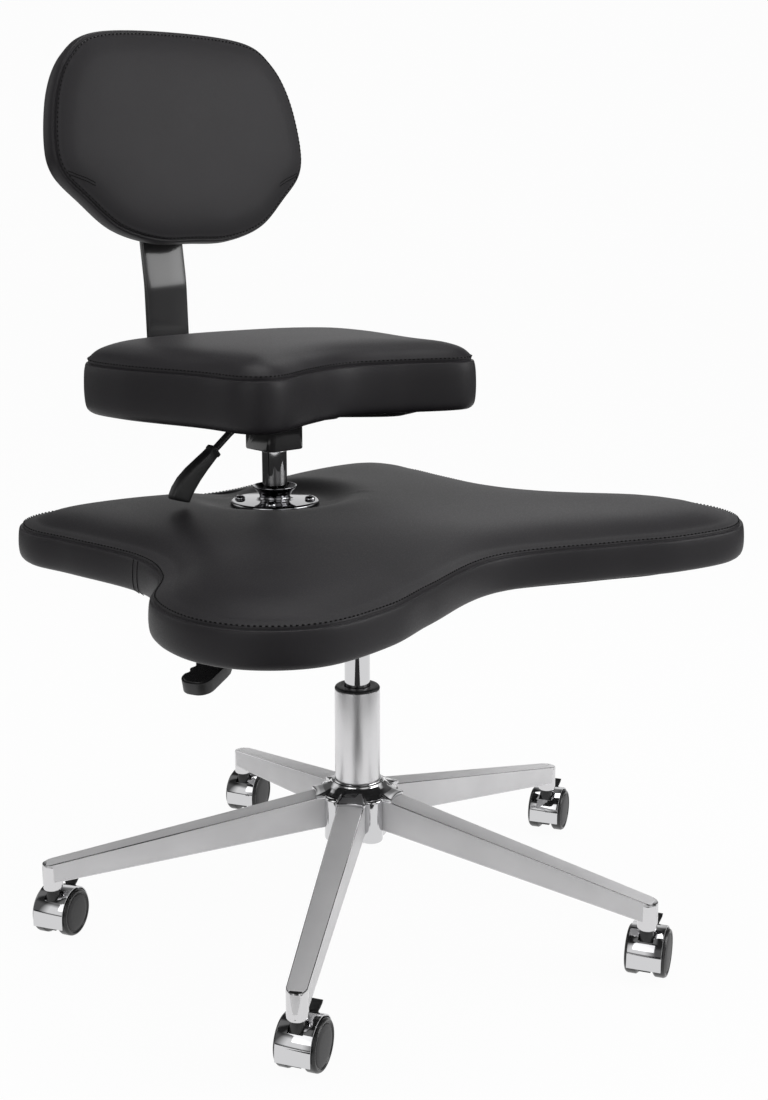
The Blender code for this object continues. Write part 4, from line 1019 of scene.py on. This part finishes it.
def makeSeatLever():
    spec = seatLever
    toHinge = Matrix.Translation(spec["hinge"]) @ turn(180, "Z")
    slope = polar(1.0, -spec["slope"])
    bend = Vector((spec["bend"], 0))
    path = [Vector((-spec["inner"], 0))]
    path += eased(bend - Vector((0.010, 0)), bend, bend + slope * 0.010, 4)
    path.append(bend + slope * spec["run"])
    rod = moved(sweptAlong(path, circlePoints(spec["rod"], 24)), toHinge)
    addPiece("seatLeverRod", rod, "seat_lever", [blackSteel], ["seat_lever_rod"])

    spine = [Vector(s[:2]) for s in spec["spine"]]
    rings = []
    for i, (x, z, half, thick) in enumerate(spec["spine"]):
        along = (spine[min(i + 1, len(spine) - 1)] - spine[max(i - 1, 0)]).normalized()
        across = Vector((-along.y, along.x))
        ring = []
        for k in range(28):  # a rounded rectangle
            angle = math.tau * k / 28
            c, s = math.cos(angle), math.sin(angle)
            u = math.copysign(abs(c) ** 0.45, c) * half
            v = math.copysign(abs(s) ** 0.45, s) * thick
            ring.append((x + across.x * u, v, z + across.y * u))
        rings.append(ring)
    handle = moved(skinned(rings), toHinge)
    addPiece("seatLeverHandle", handle, "seat_lever", [blackPlastic], ["seat_lever_handle"], 50)


makePlatformLever()
makeSeatLever()
print("levers made")


# seat mechanism, boards and back bar

mechanism = {
    "wide": 0.050, "corner": 0.008, "plateWide": 0.090, "plateLong": 0.130, "plateThick": 0.003, "socket": 0.0131,
    "hollow": 0.042, "hollowCorner": 0.005, "slot": (0.016, 0.0090, 0.0100), "slotAt": (-0.024, 0, 0.5485),
}


def makeMechanism():
    spec = mechanism
    low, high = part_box("seat_mechanism")
    plateLow = high.z - spec["plateThick"]
    box = slab(roundedRectangle(spec["wide"], spec["wide"], spec["corner"]), low.z, plateLow + 0.0005)
    rounded(box, 0.0016, 3, 60)
    bore = cylinder(spec["socket"], low.z - 0.01, high.z, 48)
    hollow = roundedRectangle(spec["hollow"], spec["hollow"], spec["hollowCorner"])
    inner = slab(hollow, low.z + 0.020, high.z)
    slot = block(shift(*spec["slotAt"]), spec["slot"])  # for the lever
    box = carved(box, [inner, bore, slot])
    plate = slab(roundedRectangle(spec["plateWide"], spec["plateLong"], 0.010), plateLow, high.z)
    rounded(plate, 0.0008, 2, 60)
    plate = carved(plate, [slab(hollow, plateLow - 0.01, high.z + 0.01)])
    body = moved(merged([box, plate]), toPost)
    addPiece("seatMechanism", body, "seat", [blackSteel], ["seat_mechanism"])


boards = {
    "platformInset": 0.046, "seatInset": (0.080, 0.052), "edge": 0.0012,
    "backInset": 0.038, "backFrom": 0.0003, "backTo": 0.0083, "backEdge": 0.0030,
}


def makeBoards():
    low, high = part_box("platform_board")
    board = slab(insetLoop(closedCurve(platformPad["half"], 160), boards["platformInset"]), low.z, high.z)
    rounded(board, boards["edge"], 2, 60)
    hole = cylinder(postHole, low.z - 0.01, high.z + 0.01, 72)
    board = moved(carved(board, [moved(hole, shift(*platformPad["centre"], 0))]), toColumn)
    addPiece("platformLining", board, "platform", [lining], ["platform_board"])

    low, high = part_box("seat_board")
    middle = Vector(seatPad["centre"])
    outline = closedCurve(seatPad["half"], 120)
    rings = []
    for inset, z in zip(boards["seatInset"], (low.z, high.z)):  # chamfered below
        rings.append([(*(p + (middle - p).normalized() * inset), z) for p in outline])
    board = skinned(rings)
    rounded(board, boards["edge"], 2, 60)
    addPiece("seatLining", moved(board, toColumn), "seat", [lining], ["seat_board"])

    outline = insetLoop(closedCurve(backPad["half"], 120), boards["backInset"])
    board = slab(outline, boards["backFrom"], boards["backTo"])
    rounded(board, boards["backEdge"], 4, 60)
    addPiece("backPanel", moved(board, toBack), "seat", [leatherette], ["back_board"])


backBar = {
    "wide": 0.057, "thick": 0.008, "edge": 0.0014, "upright": 0.340, "low": 0.5547, "bend": 0.030, "under": 0.125,
    "lean": 2.0, "kink": 0.6953, "kinkEase": 0.012, "backLean": 8.0, "above": 0.2315,
}


def makeBar():
    spec = backBar
    lean = polar(1.0, 90 - spec["lean"])
    backLean = polar(1.0, 90 - spec["backLean"])
    path = [Vector((spec["upright"] - spec["under"], spec["low"]))]
    bend = spec["bend"]
    path += arcPoints((spec["upright"] - bend, spec["low"] + bend), bend, -90, -spec["lean"], 14)
    kink = path[-1] + lean * ((spec["kink"] - path[-1].y) / lean.y)
    path += eased(kink - lean * spec["kinkEase"], kink, kink + backLean * spec["kinkEase"], 6)
    path.append(kink + backLean * spec["above"])
    bar = sweptAlong(path, roundedRectangle(spec["thick"], spec["wide"], spec["edge"], 3))
    bar = moved(bar, toColumn @ turn(90, "Z"))
    addPiece("backBar", bar, "seat", [blackSteel], ["back_bar"])


makeMechanism()
makeBoards()
makeBar()
print("seat frame made")


# casters, built once in their own frame: stem on Z, trail along X, axle along Y

caster = {
    "trail": 0.014, "axle": 0.02568, "wheel": 0.0258, "inner": 0.0079, "wide": 0.0135, "disc": 0.0212, "dome": 0.0008,
    "hood": 0.0272, "hoodWall": 0.0013, "hoodHalf": 0.018, "skirt": 0.0155, "rear": -6.0, "neck": 0.0074, "turn": 27.5,
    "brakeAngle": 36.0, "barrel": 0.0248, "brakeLean": 74.0, "bore": 0.0034, "notchFrom": 0.0385,
    "webFront": 0.0266, "webRear": 0.0216, "neckLow": 0.034, "neckTop": 0.0575, "spindle": 0.003, "spindleHalf": 0.0176,
    "pedal": [  # along, half width, half thickness
        (0.0, 0.0060, 0.0016), (0.007, 0.0060, 0.0015), (0.010, 0.0074, 0.0014), (0.0145, 0.0090, 0.0014),
        (0.018, 0.0095, 0.0013),
    ],
}


def makeWheel(spec):
    radius = spec["wheel"]
    wide = spec["wide"]
    disc = spec["disc"]
    dome = spec["dome"]
    bore = spec["bore"]
    profile = [
        (bore, 0.0), (radius - 0.0022, 0.0), (radius, 0.0022), (radius, wide - 0.0026),
        (radius - 0.0012, wide - 0.0006), (radius - 0.0022, wide), (disc + 0.0012, wide - 0.0004),
        (disc + 0.0003, wide - 0.0016), (disc - 0.0006, wide - 0.0016), (disc - 0.0012, wide - 0.0006),
        (disc * 0.72, wide + dome * 0.45), (disc * 0.38, wide + dome * 0.85), (0.0, wide + dome),
        (0.0, wide - 0.003), (bore, wide - 0.003),
    ]
    wheel = turned(soften(profile, 0.0006), 56)
    for face in wheel.faces:
        middle = face.calc_center_median()
        if middle.z > wide - 0.0014 and middle.xy.length < disc - 0.0004:
            face.material_index = 1
    return wheel


def makeHood(spec):
    axle = (spec["trail"], spec["axle"])
    middle = spec["hood"] + spec["hoodWall"] / 2
    front = spec["trail"] - middle
    path = [Vector((front, spec["skirt"] + 0.0008)), Vector((front, spec["axle"] - 0.004))]
    path += arcPoints(axle, middle, 180, spec["rear"], 48)
    hood = sweptAlong(path, roundedRectangle(spec["hoodWall"], spec["hoodHalf"] * 2, 0.0004, 2))
    neck = spec["neck"] + 0.0006
    outline = [(-0.030, -neck), (-0.004, -neck)] + arcPoints((0, 0), neck, -90, 90, 16)
    outline += [(-0.004, neck), (-0.030, neck)]
    notch = slab(outline, spec["notchFrom"], 0.075)
    for v in notch.verts:  # the notch narrows to a point at its foot
        if v.co.z < 0.05 and v.co.x < -0.002:
            v.co.z += 0.006 * abs(v.co.y) / neck
    spot = Vector(axle) + polar(spec["hood"], spec["brakeAngle"] + 4)
    slot = block(shift(spot.x, 0, spot.y) @ turn(-spec["brakeAngle"], "Y"), (0.010, 0.013, 0.0070))
    return carved(hood, [notch, slot])


def makeHousing(spec):
    # the web between the wheels and the neck round the stem
    axle = (spec["trail"], spec["axle"])
    web = arcPoints(axle, spec["webFront"], 213, 56, 20) + arcPoints(axle, spec["webRear"], 50, -20, 12)
    half = spec["neck"] - 0.0006
    body = skinned([[(p.x, side, p.y) for p in web] for side in (-half, half)])
    rounded(body, 0.0008, 2, 50)
    neck = cylinder(spec["neck"], spec["neckLow"], spec["neckTop"], 40, 0.0012)
    spindle = cylinder(spec["spindle"], -spec["spindleHalf"], spec["spindleHalf"], 20)
    spindle = moved(spindle, shift(axle[0], 0, axle[1]) @ turn(90, "X"))
    return merged([body, neck, spindle])


def makeBrake(spec):
    # a pedal that flares, with a framed face
    pedal = skinned([[(x, -w, -t), (x, w, -t), (x, w, t), (x, -w, t)] for x, w, t in spec["pedal"]])
    face = [f for f in pedal.faces if f.normal.z > 0.9 and f.calc_center_median().x > 0.008]
    face = face or [f for f in pedal.faces if f.normal.z < -0.9 and f.calc_center_median().x > 0.008]
    bmesh.ops.inset_region(pedal, faces=face, thickness=0.0016, depth=-0.0005)
    rounded(pedal, 0.0005, 2, 50)
    roll = cylinder(0.0021, -0.006, 0.006, 24, 0.0004)
    barrel = Vector((spec["trail"], spec["axle"])) + polar(spec["barrel"], spec["brakeAngle"])
    pedal = moved(pedal, turn(-spec["brakeLean"], "Y"))
    whole = merged([pedal, moved(roll, turn(90, "X"))])
    return moved(whole, shift(barrel.x, 0, barrel.y))


def makeCasters():
    spec = caster
    shapes = [  # piece, shape, body, slot, finishes, node
        ("casterHood", makeHood(spec), "caster", "chrome", [chrome], "caster_hood"),
        ("casterHousing", makeHousing(spec), "caster", "black_plastic", [blackPlastic], "caster_body"),
        ("casterBrake", makeBrake(spec), "brake", "black_plastic", [blackPlastic], "caster_brake"),
    ]
    for side, sign in (("left", 1), ("right", -1)):
        toAxle = shift(spec["trail"], sign * spec["inner"], spec["axle"]) @ turn(-90 * sign, "X")
        wheel = moved(makeWheel(spec), toAxle)
        name = "wheel_" + side
        finishes = [glossPlastic, greyPlastic]
        shapes.append(("casterWheel_" + side, wheel, name, "wheel_plastic", finishes, "caster_" + name))
    shapes = [(piece, meshFrom(shape, piece), *rest) for piece, shape, *rest in shapes]
    for k in range(1, 6):
        number = "_%d" % k
        stem = middleOf("caster_stem_%d" % k)
        place = shift(stem.x, stem.y, 0) @ turn(spec["turn"], "Z")
        for piece, shape, body, slotName, finishes, node in shapes:
            mesh = shape.copy()
            mesh.transform(place)
            addPiece(piece + number, mesh, body + number, finishes, [node + number])
    for shape in shapes:
        bpy.data.meshes.remove(shape[1])


makeCasters()
print("casters made")

# inner pieces that hardly show keep their solids
inner = ["thrust_bearing", "column_clip", "piston_rod", "valve_pin", "post_rod", "post_valve_pin"]
for name in inner + ["caster_stem_%d" % k for k in range(1, 6)]:
    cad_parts[name].data.materials.clear()
    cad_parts[name].data.materials.append(machinedSteel)


# studio

studio = {
    "floorSize": 30.0, "floorWhite": 0.60, "floorGlow": 0.962, "white": 0.976, "worldLight": 0.62,
    "panels": 5.0, "panelTurn": 3.95, "panelGap": 0.12, "farFrom": 2.3, "farTo": 14.0,
    "surround": [  # share of the way from straight down to straight up, grey seen in polished pieces
        (0.50, 0.20), (0.525, 0.20), (0.54, 0.95), (0.74, 0.95), (0.82, 0.22), (1.0, 0.16),
    ],
    "lamps": [  # name, place, aim, size, watts
        ("keyLamp", (1.6, -2.0, 1.62), (0.0, 0.1, 0.6), 1.6, 34.0),
        ("fillLamp", (-2.0, -0.9, 1.5), (0.0, 0.0, 0.5), 1.4, 8.0),
        ("topLamp", (0.2, 0.2, 2.7), (0.0, 0.0, 0.4), 1.6, 24.0),
    ],
    "camera": (-1.1104, -1.2659, 0.8033), "pitch": 77.17, "heading": -42.5, "lens": 51.7,
    "flagNear": 0.55, "flagFar": 2.2, "flagHalf": 0.32,
}


def shaderMix(tree, share, first, second):
    mix = newNode(tree, "MixShader", Fac=share)
    tree.links.new(first, mix.inputs[1])
    tree.links.new(second, mix.inputs[2])
    return mix.outputs[0]


def makeFloor():
    # camera, mirror and glass rays see mostly white paper, with the object's shadow on it
    bm = bmesh.new()
    bmesh.ops.create_grid(bm, x_segments=1, y_segments=1, size=studio["floorSize"], matrix=shift(0, 0, -0.0004))
    floor = linked("studioFloor", meshFrom(bm, "studioFloor"))
    paper = Finish("paleFloor", (studio["floorWhite"],) * 3, 0.9)
    tree = paper.tree
    glow = newNode(tree, "Emission", Color=(1, 1, 1, 1))
    path = newNode(tree, "LightPath")
    seen = mathNode(tree, "ADD", path.outputs["Is Camera Ray"], path.outputs["Is Glossy Ray"])
    seen = mathNode(tree, "ADD", seen, path.outputs["Is Transmission Ray"])
    share = mathNode(tree, "MINIMUM", mathNode(tree, "MULTIPLY", seen, studio["floorGlow"]), studio["floorGlow"])
    surface = shaderMix(tree, share, paper.shader.outputs[0], glow.outputs[0])
    tree.links.new(surface, tree.nodes["Material Output"].inputs["Surface"])
    floor.data.materials.append(paper.material)


def makeFlags():
    # a dark strip on the floor towards the camera and a dark ring far out, seen only in glossy pieces
    bm = bmesh.new()
    middle = (studio["flagNear"] + studio["flagFar"]) / 2
    half = (studio["flagFar"] - studio["flagNear"]) / 2
    towards = Vector(studio["camera"]).xy - columnAt
    heading = math.degrees(math.atan2(towards.y, towards.x))
    place = shift(*columnAt, 0.001) @ turn(heading, "Z") @ shift(middle, 0, 0)
    size = Matrix.Diagonal((half, studio["flagHalf"], 1, 1))
    bmesh.ops.create_grid(bm, x_segments=1, y_segments=1, size=1, matrix=place @ size)
    ends = [bm.verts.new((studio[label], 0, 0.001)) for label in ("farFrom", "farTo")]
    bmesh.ops.spin(
        bm, geom=ends + [bm.edges.new(ends)], cent=(0, 0, 0), axis=(0, 0, 1), angle=math.tau, steps=48, use_merge=True
    )
    flag = linked("studioFlag", meshFrom(bm, "studioFlag"))
    flag.data.materials.append(Finish("darkFlag", (0.01, 0.01, 0.01), 0.95).material)
    flag.visible_camera = False
    flag.visible_diffuse = False
    flag.visible_transmission = False
    flag.visible_shadow = False


def makeWorld():
    # a white backdrop; glossy pieces see bright panels with dark gaps along the horizon, under a dim ceiling
    world = bpy.data.worlds.new("studioWorld")
    scene.world = world
    world.use_nodes = True
    tree = world.node_tree
    light = tree.nodes["Background"]
    light.inputs["Color"].default_value = (1, 1, 1, 1)
    light.inputs["Strength"].default_value = studio["worldLight"]
    white = newNode(tree, "Background", Color=(studio["white"],) * 3 + (1,))
    split = newNode(tree, "SeparateXYZ", Vector=newNode(tree, "TexCoord").outputs["Generated"])
    height = mathNode(tree, "ADD", mathNode(tree, "MULTIPLY", split.outputs["Z"], 0.5), 0.5)
    ramp = newNode(tree, "ValToRGB", Fac=height)
    stops = ramp.color_ramp.elements
    while len(stops) < len(studio["surround"]):
        stops.new(0.5)
    for stop, (at, grey) in zip(stops, studio["surround"]):
        stop.position = at
        stop.color = (grey, grey, grey, 1)
    bearing = mathNode(tree, "ARCTAN2", split.outputs["Y"], split.outputs["X"])
    bearing = mathNode(tree, "ADD", mathNode(tree, "MULTIPLY", bearing, studio["panels"]), studio["panelTurn"])
    ends = {"From_Min": -0.6, "From_Max": 0.6, "To_Min": studio["panelGap"], "To_Max": 1.0}
    side = newNode(tree, "MapRange", Value=mathNode(tree, "SINE", bearing, 0.0), **ends)
    room = newNode(tree, "Background", Color=ramp.outputs["Color"], Strength=side.outputs["Result"])
    path = newNode(tree, "LightPath")
    seen = mathNode(tree, "ADD", path.outputs["Is Camera Ray"], path.outputs["Is Transmission Ray"])
    lit = shaderMix(tree, path.outputs["Is Glossy Ray"], light.outputs[0], room.outputs[0])
    surface = shaderMix(tree, mathNode(tree, "MINIMUM", seen, 1.0), lit, white.outputs[0])
    tree.links.new(surface, tree.nodes["World Output"].inputs["Surface"])


def makeLamps():
    for name, place, aim, size, watts in studio["lamps"]:
        lamp = bpy.data.lights.new(name, "AREA")
        lamp.size = size
        lamp.energy = watts
        holder = linked(name, lamp)
        holder.location = place
        holder.rotation_euler = (Vector(aim) - Vector(place)).to_track_quat("-Z", "Y").to_euler()


def makeCamera():
    lens = bpy.data.cameras.new("photoCamera")
    lens.sensor_fit = "VERTICAL"
    lens.sensor_height = 36.0
    lens.lens = studio["lens"]
    camera = linked("photoCamera", lens)
    camera.location = studio["camera"]
    camera.rotation_euler = (math.radians(studio["pitch"]), 0, math.radians(studio["heading"]))
    scene.camera = camera


makeFloor()
makeFlags()
makeWorld()
makeLamps()
makeCamera()
scene.view_settings.view_transform = "Standard"
print("studio made")
